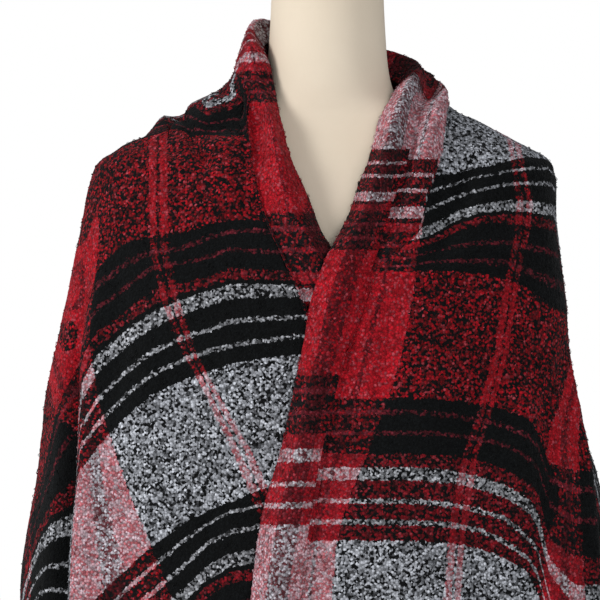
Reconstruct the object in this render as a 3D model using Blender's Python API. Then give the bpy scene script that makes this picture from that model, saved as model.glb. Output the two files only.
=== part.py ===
"""Tartan blanket scarf worn as a shawl on a limbless dress form.

The scarf is one long rectangle. Its middle lies behind the neck, where the inner long edge stands up and
rolls outward as a collar. The rolled edge runs down both fronts, and the viewer's right front crosses over
the left one. From the roll the cloth spreads over the shoulders, wraps the arm sides and hangs down the back.

Frame: +Z up, origin on the surface under the middle, the fronts face -Y and the viewer's right is +X.
Sizes in the tables are millimetres above the surface or from the middle, and angles are degrees round the
body from the front, positive to the viewer's right.
"""
import math

import bpy
import bmesh
import numpy as np

# ---------------------------------------------------------------- driving dimensions
MM = 0.001
CLOTH_THICKNESS = 2.8 * MM
SEAM_GAP = 0.3 * MM
FOOT_DROP = 0.5               # the panels stop this far below the foot of the collar, mm
SEAM_SPREAD = 1.7             # seams between twisted walls are drawn this much wider to keep that gap
FRONT_LAP_LIFT = 9.0          # the right front lies this far outside the left one, mm
LAP_LIFT_FULL_X = 70.0        # the lap is fully lifted up to here, mm from the middle
LAP_LIFT_END_X = 165.0
LAP_LIFT_TOP_Z = 800.0        # above this height the fronts are parted and the lift fades out
LAP_LIFT_FADE = 90.0

BACK_SEAM = 128.0             # where the arm side meets the back, on either side

BASE_RADIUS = 165.0 * MM
BASE_THICKNESS = 16.0 * MM
BASE_EDGE = 4.0 * MM
POLE_RADIUS = 14.0 * MM
FLANGE_RADIUS = 32.0 * MM
FLANGE_HEIGHT = 14.0 * MM
ROUND_STEPS = 40

# outer surface of the hanging cloth: height, half widths, depths, squareness of the plan
CAPE = [
    # z     left   right  front  back   square
    (867.0, 103.0, 101.0, 58.0, 90.0, 2.1),
    (857.0, 112.0, 106.0, 60.0, 96.0, 2.2),
    (850.0, 126.0, 113.0, 62.0, 99.0, 2.2),
    (841.0, 143.0, 124.0, 65.0, 102.0, 2.3),
    (830.0, 161.0, 147.0, 70.0, 105.0, 2.3),
    (817.0, 177.0, 171.0, 77.0, 108.0, 2.3),
    (804.0, 204.0, 196.0, 85.0, 111.0, 2.3),
    (797.0, 218.0, 209.0, 88.0, 113.0, 2.4),
    (787.0, 227.0, 216.0, 93.0, 115.0, 2.5),
    (770.0, 232.0, 219.0, 99.0, 118.0, 2.5),
    (740.0, 238.0, 218.0, 107.0, 121.0, 2.5),
    (700.0, 246.0, 222.0, 115.0, 124.0, 2.5),
    (650.0, 256.0, 230.0, 120.0, 127.0, 2.5),
    (600.0, 265.0, 237.0, 124.0, 129.0, 2.5),
    (500.0, 279.0, 252.0, 129.0, 133.0, 2.5),
    (430.0, 288.0, 262.0, 132.0, 136.0, 2.5),
    (368.0, 296.0, 271.0, 135.0, 138.0, 2.5),
    (280.0, 301.0, 284.0, 139.0, 141.0, 2.5),
    (200.0, 303.0, 295.0, 142.0, 144.0, 2.5),
    (100.0, 304.0, 304.0, 145.0, 146.0, 2.5),
]

# bottom edge of the cloth round the body
HEM = [
    # angle    z
    (-180.0, 262.0),
    (-155.0, 250.0),
    (-135.0, 212.0),
    (-112.0, 140.0),
    (-90.0, 104.0),
    (-66.0, 108.0),
    (-40.0, 132.0),
    (0.0, 166.0),
    (40.0, 146.0),
    (72.0, 112.0),
    (92.0, 104.0),
    (114.0, 146.0),
    (135.0, 216.0),
    (155.0, 252.0),
    (180.0, 262.0),
]

# where the fronts meet the arm sides, in the groove behind the fold at each arm
ARM_SEAMS = [
    # z     left   right
    (100.0, -53.0, 53.5),
    (368.0, -57.5, 71.5),
    (610.0, -62.5, 86.0),
    (720.0, -67.0, 82.0),
    (800.0, -69.0, 79.0),
    (870.0, -69.0, 79.0),
]

# largest folds of the hanging cloth: straight ridges, or troughs where the rise is negative,
# with the share of their length over which each end fades in or out
FOLDS = [
    # name                 top z  angle   low z  angle  width  rise   in    out
    ("left arm edge", 740.0, -58.0, 100.0, -45.0, 6.0, 9.0, 0.30, 0.0),
    ("left arm groove", 720.0, -66.5, 100.0, -53.5, 4.5, -17.0, 0.30, 0.0),
    ("left neck hollow", 858.0, -32.0, 806.0, -36.0, 9.0, -8.0, 0.30, 0.4),
    ("left neck crease", 846.0, -88.0, 786.0, -28.0, 5.0, -7.0, 0.15, 0.4),
    ("left shoulder bump", 842.0, -104.0, 800.0, -52.0, 7.0, 4.0, 0.20, 0.4),
    ("right arm edge", 640.0, 82.0, 100.0, 44.0, 5.5, 8.0, 0.15, 0.0),
    ("right arm groove", 620.0, 88.5, 100.0, 53.0, 4.0, -15.0, 0.15, 0.0),
    ("right bosom hollow", 806.0, 33.0, 680.0, 21.0, 5.0, -8.0, 0.25, 0.4),
    ("right arm swell", 600.0, 102.0, 100.0, 84.0, 9.0, 7.0, 0.40, 0.0),
    ("right arm hollow", 700.0, 119.0, 100.0, 110.0, 6.0, -9.0, 0.40, 0.0),
    ("left arm swell", 660.0, -98.0, 100.0, -86.0, 10.0, 7.0, 0.40, 0.0),
    ("left arm hollow", 700.0, -116.0, 100.0, -108.0, 6.0, -9.0, 0.40, 0.0),
    ("back right ridge", 800.0, 146.0, 100.0, 138.0, 7.0, 12.0, 0.50, 0.0),
    ("back right hollow", 770.0, 158.0, 100.0, 153.0, 6.0, -10.0, 0.50, 0.0),
    ("back middle ridge", 740.0, 174.0, 100.0, 170.0, 8.0, 10.0, 0.50, 0.0),
    ("back left hollow", 780.0, -168.0, 100.0, -164.0, 6.0, -10.0, 0.50, 0.0),
    ("back left ridge", 800.0, -150.0, 100.0, -147.0, 7.0, 12.0, 0.50, 0.0),
    ("back left arm hollow", 760.0, -138.0, 100.0, -133.0, 5.0, -6.0, 0.50, 0.0),
]

# the rolled front edges: where the roll and the soft fold beside it lie, and how far they stand proud
RIGHT_ROLL = [
    # z      inner  edge   outer  inner roll  valley fold
    #        x      x      x      rise  rise  rise   rise
    (162.0, -92.0, -52.0, -47.0, 4.0, 17.0, 11.0, 9.8),
    (271.0, -84.0, -43.0, -38.0, 4.0, 19.0, 12.0, 9.8),
    (368.0, -75.0, -34.0, -29.0, 4.0, 21.0, 12.0, 9.8),
    (462.0, -63.0, -18.5, -13.5, 4.0, 22.0, 12.0, 9.8),
    (523.0, -46.0, -8.0, -3.0, 4.0, 22.0, 12.0, 9.8),
    (574.0, -35.0, 4.0, 9.0, 4.5, 22.0, 12.0, 9.8),
    (615.0, -26.0, 14.0, 19.0, 6.0, 22.0, 11.0, 9.8),
    (657.0, -18.5, 27.0, 33.0, 9.0, 22.0, 10.0, 9.8),
    (680.0, -11.0, 34.0, 42.0, 11.0, 22.0, 9.0, 9.8),
    (696.0, -5.0, 40.0, 54.0, 10.0, 22.0, 7.0, 10.0),
    (708.0, 1.0, 44.0, 68.0, 6.0, 21.0, 4.0, 10.0),
    (722.0, 8.0, 49.0, 82.0, -3.0, 20.0, 2.0, 10.0),
    (748.0, 20.0, 56.0, 90.0, -9.0, 19.0, 0.0, 11.0),
    (775.0, 29.0, 67.0, 98.0, -10.0, 18.0, -1.0, 13.0),
    (804.0, 40.0, 75.0, 108.0, -10.0, 17.0, -1.0, 15.0),
    (830.0, 46.0, 81.0, 114.0, -8.0, 15.0, 0.0, 17.0),
]
LEFT_ROLL = [
    (162.0, 50.0, 10.0, 6.0, 0.0, 2.0, 0.5, 0.2),
    (300.0, 48.0, 8.0, 4.0, 0.0, 2.0, 0.5, 0.2),
    (400.0, 46.0, 6.0, 2.0, 0.0, 2.0, 0.5, 0.2),
    (500.0, 42.0, 2.0, -2.0, 0.0, 2.0, 0.5, 0.2),
    (600.0, 34.0, -8.0, -12.0, 0.0, 2.0, 0.5, 0.2),
    (657.0, 22.0, -23.0, -28.0, -1.0, 3.0, 1.0, 0.3),
    (680.0, 14.0, -31.0, -37.0, -3.0, 5.0, 1.0, 0.4),
    (708.0, 2.0, -43.0, -49.0, -5.0, 11.0, 1.0, 0.5),
    (724.0, -7.0, -50.5, -57.0, -8.0, 14.0, 1.0, 1.0),
    (746.0, -15.5, -59.0, -66.0, -10.0, 16.0, 0.0, 1.0),
    (775.0, -27.0, -66.0, -75.0, -11.0, 16.0, -2.0, 0.0),
    (806.0, -39.0, -66.0, -80.0, -10.0, 16.0, -5.0, 0.0),
    (830.0, -45.0, -69.0, -88.0, -8.0, 15.0, -7.0, 0.0),
]

# sections of the collar from the viewer's left front, round the back of the neck, to the right front
COLLAR = [
    # turn    foot    foot   inner edge   roll crest   valley        second fold
    #         angle   z      r     z      r     z      r      z      r      z
    (-50.0, -40.0, 850.0, 66.0, 858.0, 84.0, 869.0, 92.0, 859.0, 97.0, 856.0),
    (-62.0, -69.0, 857.0, 64.0, 884.0, 80.0, 903.0, 91.0, 886.0, 97.0, 872.0),
    (-90.0, -96.0, 862.0, 62.0, 903.0, 77.0, 926.0, 86.0, 901.0, 94.0, 873.0),
    (-127.0, -128.0, 864.0, 64.0, 904.0, 77.0, 930.0, 90.0, 909.0, 98.0, 884.0),
    (-180.0, -180.0, 863.0, 68.0, 892.0, 81.0, 920.0, 94.0, 900.0, 100.0, 880.0),
    (127.0, 128.0, 860.0, 74.0, 876.0, 90.0, 899.0, 101.0, 880.0, 107.0, 874.0),
    (106.0, 106.0, 854.0, 72.0, 870.0, 91.0, 887.0, 101.0, 868.0, 111.0, 873.0),
    (82.0, 79.0, 846.0, 67.0, 866.0, 84.0, 876.0, 95.0, 858.0, 113.0, 862.0),
    (60.0, 66.0, 840.0, 70.0, 856.0, 84.0, 866.0, 94.0, 849.0, 112.0, 851.0),
]

# the dress form: height, half width, depths and squareness of its plan
FORM = [
    # z     half   front  back   square
    (290.0, 160.0, 92.0, 100.0, 2.2),
    (300.0, 167.0, 99.0, 107.0, 2.2),
    (330.0, 164.0, 100.0, 108.0, 2.2),
    (380.0, 148.0, 95.0, 100.0, 2.2),
    (450.0, 124.0, 84.0, 86.0, 2.1),
    (520.0, 128.0, 86.0, 88.0, 2.1),
    (600.0, 147.0, 98.0, 98.0, 2.2),
    (670.0, 163.0, 102.0, 104.0, 2.3),
    (730.0, 178.0, 92.0, 106.0, 2.3),
    (770.0, 187.0, 81.0, 105.0, 2.3),
    (787.0, 187.0, 76.0, 103.0, 2.3),
    (798.0, 183.0, 72.0, 101.0, 2.2),
    (808.0, 175.0, 67.0, 97.0, 2.2),
    (817.0, 164.4, 62.0, 93.0, 2.2),
    (824.0, 149.5, 59.0, 89.0, 2.1),
    (832.0, 126.0, 56.0, 85.0, 2.1),
    (841.0, 94.0, 54.0, 79.0, 2.0),
    (850.0, 73.0, 54.0, 72.0, 2.0),
    (862.0, 63.0, 54.5, 65.0, 2.0),
    (880.0, 59.0, 54.5, 60.0, 2.0),
    (911.0, 56.5, 54.0, 57.0, 2.0),
    (950.0, 54.5, 53.0, 55.0, 2.0),
    (982.0, 53.5, 52.5, 54.0, 2.0),
    (990.0, 51.0, 50.0, 51.5, 2.0),
    (993.0, 46.0, 45.0, 46.5, 2.0),
]
FORM_COLUMNS = 36

# grid sizes of the cloth solids
ROW_STEPS = 26                # rows from the hem to the collar
ROW_CROWDING = 1.35           # rows lie closer together over the shoulders
FRONT_COLUMNS = 11
SIDE_COLUMNS = 9
BACK_COLUMNS = 20
ROLL_COLUMNS = 11
COLLAR_SUBSTEPS = 4
CREST_PLACE = 0.45            # where the crest of a roll lies between its inner and outer edge
FOOT_PLACE = 3.98             # the rolled edge stops just short of the panel's edge, the fifth point
SHARP_ANGLE = 50.0            # edges sharper than this are not shaded smooth

MATERIALS = {
    # name: (base colour, roughness, metallic)
    "red check": ((0.32, 0.02, 0.03, 1.0), 0.95, 0.0),
    "grey check": ((0.20, 0.17, 0.18, 1.0), 0.95, 0.0),
    "cream": ((0.78, 0.70, 0.58, 1.0), 0.8, 0.0),
    "steel": ((0.60, 0.60, 0.60, 1.0), 0.3, 1.0),
    "black base": ((0.03, 0.03, 0.03, 1.0), 0.4, 0.0),
}


# ---------------------------------------------------------------- curves through table rows
def smooth(rows, column):
    """A smooth function of the first column through the values of another one, without overshoot."""
    keys = np.array([row[0] for row in rows])
    values = np.array([row[column] for row in rows])
    steps = np.diff(keys)
    slopes = np.diff(values) / steps
    tangents = np.zeros(len(keys))
    tangents[0] = slopes[0]
    tangents[-1] = slopes[-1]
    for i in range(1, len(keys) - 1):
        if slopes[i - 1] * slopes[i] > 0.0:
            before = 2.0 * steps[i] + steps[i - 1]
            after = steps[i] + 2.0 * steps[i - 1]
            tangents[i] = (before + after) / (before / slopes[i - 1] + after / slopes[i])

    def value(at):
        at = np.clip(np.asarray(at, dtype=float), keys[0], keys[-1])
        i = np.clip(np.searchsorted(keys, at, side="right") - 1, 0, len(keys) - 2)
        step = steps[i]
        t = (at - keys[i]) / step
        return (values[i] * (2 * t**3 - 3 * t**2 + 1) + values[i + 1] * (3 * t**2 - 2 * t**3)
                + tangents[i] * step * (t**3 - 2 * t**2 + t)
                + tangents[i + 1] * step * (t**3 - t**2))

    return value


def through(points, at):
    """Points on a Catmull-Rom curve through a list of points, at fractional places in the list."""
    points = np.asarray(points, dtype=float)
    last = len(points) - 1
    ends = np.vstack([2 * points[0] - points[1], points, 2 * points[-1] - points[-2]])
    i = np.clip(np.floor(at).astype(int), 0, last - 1)
    t = (at - i)[:, None]
    a, b, c, d = ends[i], ends[i + 1], ends[i + 2], ends[i + 3]
    return b + 0.5 * t * (c - a + t * (2 * a - 5 * b + 4 * c - d + t * (3 * (b - c) + d - a)))


def ease(value):
    """0 below 0, 1 above 1 and smooth between."""
    value = np.clip(value, 0.0, 1.0)
    return value * value * (3.0 - 2.0 * value)


# ---------------------------------------------------------------- the hanging cloth
CAPE_UP = sorted(CAPE)
CAPE_LEFT = smooth(CAPE_UP, 1)
CAPE_RIGHT = smooth(CAPE_UP, 2)
CAPE_FRONT = smooth(CAPE_UP, 3)
CAPE_BACK = smooth(CAPE_UP, 4)
CAPE_SQUARE = smooth(CAPE_UP, 5)
HEM_HEIGHT = smooth(HEM, 1)
LEFT_SEAM = smooth(ARM_SEAMS, 1)
RIGHT_SEAM = smooth(ARM_SEAMS, 2)


def ring(angle, half, depth, square):
    """Point of a rounded plan outline at an angle from the front."""
    turn = np.radians(angle)
    power = 2.0 / square
    x = half * np.sign(np.sin(turn)) * np.abs(np.sin(turn)) ** power
    y = -depth * np.sign(np.cos(turn)) * np.abs(np.cos(turn)) ** power
    return x, y


def cape_base(angle, z):
    """Point of the plain cape outline, before its folds."""
    half = np.where(np.sin(np.radians(angle)) < 0.0, CAPE_LEFT(z), CAPE_RIGHT(z))
    depth = np.where(np.cos(np.radians(angle)) > 0.0, CAPE_FRONT(z), CAPE_BACK(z))
    x, y = ring(angle, half, depth, CAPE_SQUARE(z))
    return np.stack([x, y, z + 0.0 * x], axis=-1)


def across(surface, angle, z, turn_step=0.5, rise_step=1.0):
    """Outward unit normals of a surface given by angle and height."""
    round_it = surface(angle + turn_step, z) - surface(angle - turn_step, z)
    up_it = surface(angle, z + rise_step) - surface(angle, z - rise_step)
    normal = np.cross(round_it, up_it)
    return normal / np.linalg.norm(normal, axis=-1, keepdims=True)


def front_angle(x, z):
    """Angle at which the front of the cape stands at a given x."""
    half = np.where(np.asarray(x) < 0.0, CAPE_LEFT(z), CAPE_RIGHT(z))
    share = np.clip(np.abs(x) / half, 0.0, 1.0)
    return np.degrees(np.arcsin(share ** (CAPE_SQUARE(z) / 2.0))) * np.sign(x)


def fold_rise(angle, z):
    """Height of all the straight folds at a place on the cape."""
    rise = 0.0 * (angle + z)
    for name, top, top_angle, low, low_angle, width, height, fade_in, fade_out in FOLDS:
        down = (top - z) / (top - low)
        middle = top_angle + (low_angle - top_angle) * np.clip(down, 0.0, 1.0)
        aside = (angle - middle + 180.0) % 360.0 - 180.0
        fade = ease(down / fade_in)
        if fade_out > 0.0:
            fade = fade * ease((1.0 - down) / fade_out)
        rise = rise + height * np.exp(-((aside / width) ** 2)) * fade
    return rise


def lap_rise(x, z):
    """How far the right front is carried outward where it laps the left one."""
    aside = 1.0 - ease((x - LAP_LIFT_FULL_X) / (LAP_LIFT_END_X - LAP_LIFT_FULL_X))
    up = 1.0 - ease((z - (LAP_LIFT_TOP_Z - LAP_LIFT_FADE)) / LAP_LIFT_FADE)
    return FRONT_LAP_LIFT * aside * up


def cape(angle, z, lap=False):
    """Outer surface of the hanging cloth with its folds, in mm."""
    angle = np.asarray(angle, dtype=float)
    z = np.asarray(z, dtype=float)
    base = cape_base(angle, z)
    rise = fold_rise(angle, z)
    if lap:
        rise = rise + lap_rise(base[..., 0], z)
    return base + across(cape_base, angle, z) * rise[..., None]


# ---------------------------------------------------------------- collar and rolled edges
ROLL_KEYS = ("inner x", "edge x", "outer x", "inner rise", "roll rise", "valley rise", "fold rise")
RIGHT_SHAPE = {key: smooth(RIGHT_ROLL, i + 1) for i, key in enumerate(ROLL_KEYS)}
LEFT_SHAPE = {key: smooth(LEFT_ROLL, i + 1) for i, key in enumerate(ROLL_KEYS)}
JUNCTION_Z = RIGHT_ROLL[-1][0]
ROLL_FOOT_Z = RIGHT_ROLL[0][0]


def roll_section(shape, z, lap):
    """Five points across a rolled front edge at one height, from its inner edge to the panel."""
    inner = float(shape["inner x"](z))
    edge = float(shape["edge x"](z))
    outer = float(shape["outer x"](z))
    places = (
        (inner, shape["inner rise"]),
        (inner + CREST_PLACE * (edge - inner), shape["roll rise"]),
        (edge, shape["valley rise"]),
        (0.5 * (edge + outer), shape["fold rise"]),
    )
    points = []
    for x, rise in places:
        angle = front_angle(x, z)
        normal = across(cape_base, angle, np.array(z))
        points.append(cape_base(angle, np.array(z)) + normal * float(rise(z)))
    points.append(cape(front_angle(outer, z), z, lap))
    return points


def collar_section(row):
    """Five points across the collar, from the inner edge at the neck to the foot on the shoulder."""
    foot = cape(row[1], row[2])
    foot_turn = math.degrees(math.atan2(foot[0], -foot[1]))
    skew = (foot_turn - row[0] + 180.0) % 360.0 - 180.0
    points = []
    for i in range(4):
        radius, z = row[3 + 2 * i], row[4 + 2 * i]
        turn = math.radians(row[0] + skew * i / 4.0)
        points.append(np.array([radius * math.sin(turn), -radius * math.cos(turn), z]))
    points.append(foot)
    return points


ROW_SHARES = 1.0 - (1.0 - np.linspace(0.0, 1.0, ROW_STEPS + 1)) ** ROW_CROWDING
ROLL_HEIGHTS = ROLL_FOOT_Z + (JUNCTION_Z - ROLL_FOOT_Z) * ROW_SHARES
ACROSS_PLACES = np.linspace(0.0, FOOT_PLACE, ROLL_COLUMNS)


def gone_round(angle):
    """The same angle counted on from the front by way of the viewer's left, the collar and the back."""
    return angle if angle < 0.0 else angle - 360.0


def top_foot(shape):
    """Angle and height of the outer edge of a rolled front edge where the collar takes over."""
    return float(front_angle(float(shape["outer x"](JUNCTION_Z)), JUNCTION_Z)), JUNCTION_Z


def sections():
    """Key sections of collar and rolls near it, and their feet, from the left front round to the right."""
    below = JUNCTION_Z - 2.0 * (ROLL_HEIGHTS[-1] - ROLL_HEIGHTS[-2])
    points = [roll_section(LEFT_SHAPE, z, False) for z in (below, JUNCTION_Z)]
    points += [collar_section(row) for row in COLLAR]
    points += [roll_section(RIGHT_SHAPE, z, True) for z in (JUNCTION_Z, below)]
    feet = [(float(front_angle(float(LEFT_SHAPE["outer x"](below)), below)), below)]
    feet += [top_foot(LEFT_SHAPE)] + [(gone_round(row[1]), row[2]) for row in COLLAR]
    right_angle, right_z = top_foot(RIGHT_SHAPE)
    feet += [(right_angle - 360.0, right_z)]
    feet += [(float(front_angle(float(RIGHT_SHAPE["outer x"](below)), below)) - 360.0, below)]
    return np.array(points), np.array(feet)


SECTIONS, FEET = sections()
FIRST_PLACE = 1               # place of the left junction in the list of sections
LAST_PLACE = len(SECTIONS) - 2


def foot_at(places):
    """Angle and height of the collar's foot at fractional places in the list of sections."""
    foot = through(FEET, places)
    return foot[:, 0], foot[:, 1]


def section_place(foot_angle):
    """Place in the list of the key section whose foot has this angle."""
    return FIRST_PLACE + 1 + [row[1] for row in COLLAR].index(foot_angle)


# ---------------------------------------------------------------- solids
def cloth_wall(name, outer, normals, material):
    """Closed wall of cloth: a grid of outer points, the same grid moved in, and a rim between them."""
    rows, columns = outer.shape[:2]
    outer = outer * MM
    inner = outer - normals * CLOTH_THICKNESS
    mesh = bmesh.new()
    faces = [[[mesh.verts.new(point) for point in line] for line in side] for side in (outer, inner)]
    for side, flip in zip(faces, (False, True)):
        for i in range(rows - 1):
            for j in range(columns - 1):
                corners = [side[i][j], side[i][j + 1], side[i + 1][j + 1], side[i + 1][j]]
                mesh.faces.new(corners[::-1] if flip else corners)
    out, into = faces
    rim = [(0, j) for j in range(columns)] + [(i, columns - 1) for i in range(1, rows)]
    rim += [(rows - 1, j) for j in range(columns - 2, -1, -1)] + [(i, 0) for i in range(rows - 2, 0, -1)]
    for pair in zip(rim, rim[1:] + rim[:1]):
        (i, j), (k, m) = sorted(pair)
        mesh.faces.new([out[i][j], out[k][m], into[k][m]])
        mesh.faces.new([out[i][j], into[k][m], into[i][j]])
    return finished(name, mesh, material)


def finished(name, mesh, material):
    """Turn a bmesh into a smooth object with its faces pointing out and one material."""
    bmesh.ops.recalc_face_normals(mesh, faces=mesh.faces)
    if mesh.calc_volume(signed=True) < 0.0:
        bmesh.ops.reverse_faces(mesh, faces=mesh.faces)
    data = bpy.data.meshes.new(name)
    mesh.to_mesh(data)
    mesh.free()
    data.shade_smooth()
    data.set_sharp_from_angle(angle=math.radians(SHARP_ANGLE))
    data.materials.append(material)
    solid = bpy.data.objects.new(name, data)
    bpy.context.scene.collection.objects.link(solid)
    return solid


def grid_normals(points):
    """Unit normals of a grid of points, from its neighbours along and across."""
    along = np.gradient(points, axis=0)
    aside = np.gradient(points, axis=1)
    normal = np.cross(along, aside)
    return normal / np.linalg.norm(normal, axis=2, keepdims=True)


def hanging_panel(name, angles, heights, lap, material):
    """A stretch of the hanging cloth from grids of its angles and heights."""
    surface = lambda angle, z: cape(angle, z, lap)
    return cloth_wall(name, surface(angles, heights), across(surface, angles, heights), material)


def side_rows(top_z, foot_z):
    """Heights from the hem to the collar in the rows that neighbouring stretches share."""
    return foot_z[None, :] + (top_z - foot_z)[None, :] * ROW_SHARES[:, None]


def seam_turn(angle, z):
    """Angle that takes half a seam gap along the cloth at a place."""
    step = np.linalg.norm(cape(angle + 0.5, z) - cape(angle - 0.5, z), axis=-1)
    return 0.5 * SEAM_SPREAD * SEAM_GAP / MM / step


def front_panel(name, shape, seam, lap, material):
    """A front: from the rolled edge to the seam at the arm, and from the hem to the collar's foot."""
    sign = -1.0 if seam is LEFT_SEAM else 1.0
    junction = LAST_PLACE if lap else FIRST_PLACE
    heights = ROLL_HEIGHTS
    inner_angle = front_angle(shape["outer x"](heights), heights)
    top_angle, top_z = foot_at(np.linspace(junction, section_place(float(seam(JUNCTION_Z))), FRONT_COLUMNS))
    top_angle = short_way(top_angle)
    seam_z = side_rows(top_z[-1:], hem_at(seam))[:, 0]
    seam_angle = seam(seam_z)
    share = np.linspace(0.0, 1.0, FRONT_COLUMNS)
    hem_angle = inner_angle[0] + (seam_angle[0] - inner_angle[0]) * share
    hem_z = heights[0] + (HEM_HEIGHT(hem_angle) - heights[0]) * share
    s, t = share[None, :], ROW_SHARES[:, None]

    def blended(left, right, low, top):
        sides = (1 - s) * left[:, None] + s * right[:, None] + (1 - t) * low[None, :] + t * top[None, :]
        corners = (1 - s) * (1 - t) * low[0] + s * (1 - t) * low[-1] + (1 - s) * t * top[0] + s * t * top[-1]
        return sides - corners

    angles = blended(inner_angle, seam_angle, hem_angle, top_angle)
    z = blended(heights, seam_z, hem_z, top_z)
    angles[:, -1] -= sign * seam_turn(angles[:, -1], z[:, -1])
    angles[:, 0] += sign * 2.0 * seam_turn(angles[:, 0], z[:, 0])
    z[-1, :] -= FOOT_DROP
    return hanging_panel(name, angles, z, lap, material)


def hem_at(seam):
    """Height of the hem where a seam meets it."""
    z = HEM_HEIGHT(seam(ARM_SEAMS[0][0]))
    return np.array([HEM_HEIGHT(seam(z))])


def side_panel(name, seam, back, material):
    """The stretch round an arm, between the seam in its groove and the seam at the back."""
    sign = math.copysign(1.0, back)
    first = section_place(float(seam(JUNCTION_Z)))
    angle, top_z = foot_at(np.linspace(first, section_place(back), SIDE_COLUMNS))
    share = (angle - angle[0]) / (angle[-1] - angle[0])
    seam_z = side_rows(top_z[:1], hem_at(seam))[:, 0]
    angles = seam(seam_z)[:, None] + (back - seam(seam_z))[:, None] * share[None, :]
    foot_z = HEM_HEIGHT(angles[0])
    foot_z[0] = seam_z[0]
    z = side_rows(top_z, foot_z)
    angles[:, 0] += sign * seam_turn(angles[:, 0], z[:, 0])
    angles[:, -1] -= sign * seam_turn(angles[:, -1], z[:, -1])
    z[-1, :] -= FOOT_DROP
    if sign > 0.0:
        angles, z = angles[:, ::-1], z[:, ::-1]
    return hanging_panel(name, angles, z, False, material)


def back_panel(name, material):
    """The back, between its two seams."""
    places = np.linspace(section_place(-BACK_SEAM), section_place(BACK_SEAM), BACK_COLUMNS)
    angle, top_z = foot_at(places)
    z = side_rows(top_z, HEM_HEIGHT(short_way(angle)))
    angles = np.repeat(angle[None, :], len(ROW_SHARES), axis=0)
    angles[:, 0] -= seam_turn(angles[:, 0], z[:, 0])
    angles[:, -1] += seam_turn(angles[:, -1], z[:, -1])
    z[-1, :] -= FOOT_DROP
    return hanging_panel(name, angles, z, False, material)


def short_way(angle):
    """The same angle between -180 and 180."""
    return (angle + 180.0) % 360.0 - 180.0


def rolled_edge():
    """Outer points and normals of the whole rolled edge, up the left front and down the right one."""
    left = np.array([roll_section(LEFT_SHAPE, z, False) for z in ROLL_HEIGHTS])
    right = np.array([roll_section(RIGHT_SHAPE, z, True) for z in ROLL_HEIGHTS[::-1]])
    places = np.linspace(FIRST_PLACE, LAST_PLACE, (LAST_PLACE - FIRST_PLACE) * COLLAR_SUBSTEPS + 1)[1:-1]
    middle = through(SECTIONS.reshape(len(SECTIONS), -1), places).reshape(len(places), 5, 3)
    middle[:, 4] = cape(*foot_at(places))
    points = np.concatenate([left, middle, right])
    points = np.array([through(section, ACROSS_PLACES) for section in points])
    return points, grid_normals(points)


def rolled_piece(name, points, normals, first, last, material):
    """A stretch of the rolled edge, its inner ends drawn in by a seam gap."""
    stretch = points[first:last + 1].copy()
    for end, beside in ((0, 1), (-1, -2)):
        if 0 < (first, last)[end] < len(points) - 1:
            into = stretch[beside] - stretch[end]
            length = np.linalg.norm(into, axis=1, keepdims=True)
            stretch[end] += into / length * SEAM_GAP / MM
    cloth_wall(name, stretch, normals[first:last + 1], material)


def dress_form(material):
    """The whole limbless torso with its neck, as rings of one smooth outline, closed at both ends."""
    mesh = bmesh.new()
    angles = np.arange(FORM_COLUMNS) * 360.0 / FORM_COLUMNS
    loops = []
    for z, half, front, back, square in FORM:
        depth = np.where(np.cos(np.radians(angles)) > 0.0, front, back)
        x, y = ring(angles, half, depth, square)
        loops.append([mesh.verts.new((a * MM, b * MM, z * MM)) for a, b in zip(x, y)])
    for lower, upper in zip(loops, loops[1:]):
        for i in range(FORM_COLUMNS):
            j = (i + 1) % FORM_COLUMNS
            mesh.faces.new([lower[i], lower[j], upper[j], upper[i]])
    mesh.faces.new(loops[0][::-1])
    mesh.faces.new(loops[-1])
    return finished("form_torso", mesh, material)


def turned(name, profile, material):
    """A round piece turned about the upright axis from (radius, height) points, closed at the axis."""
    mesh = bmesh.new()
    loops = []
    for radius, z in profile:
        turns = [2.0 * math.pi * i / ROUND_STEPS for i in range(ROUND_STEPS)]
        loops.append([mesh.verts.new((radius * math.cos(a), radius * math.sin(a), z)) for a in turns])
    for lower, upper in zip(loops, loops[1:]):
        for i in range(ROUND_STEPS):
            j = (i + 1) % ROUND_STEPS
            mesh.faces.new([lower[i], lower[j], upper[j], upper[i]])
    mesh.faces.new(loops[0][::-1])
    mesh.faces.new(loops[-1])
    return finished(name, mesh, material)


def stand(steel, base_color):
    """Round base plate with its flange, and the pole up to the underside of the torso."""
    flange_top = BASE_THICKNESS + FLANGE_HEIGHT
    turned("form_base", [
        (BASE_RADIUS - BASE_EDGE, 0.0),
        (BASE_RADIUS, BASE_EDGE),
        (BASE_RADIUS, BASE_THICKNESS - BASE_EDGE),
        (BASE_RADIUS - BASE_EDGE, BASE_THICKNESS),
        (FLANGE_RADIUS, BASE_THICKNESS),
        (FLANGE_RADIUS - BASE_EDGE, flange_top),
    ], base_color)
    pole_top = FORM[0][0] * MM - SEAM_GAP
    turned("form_pole", [(POLE_RADIUS, flange_top + SEAM_GAP), (POLE_RADIUS, pole_top)], steel)


def plain_material(name):
    """A plain Principled material from its row in the table."""
    color, roughness, metallic = MATERIALS[name]
    made = bpy.data.materials.new(name)
    made.use_nodes = True
    shader = made.node_tree.nodes["Principled BSDF"]
    shader.inputs["Base Color"].default_value = color
    shader.inputs["Roughness"].default_value = roughness
    shader.inputs["Metallic"].default_value = metallic
    return made


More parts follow.
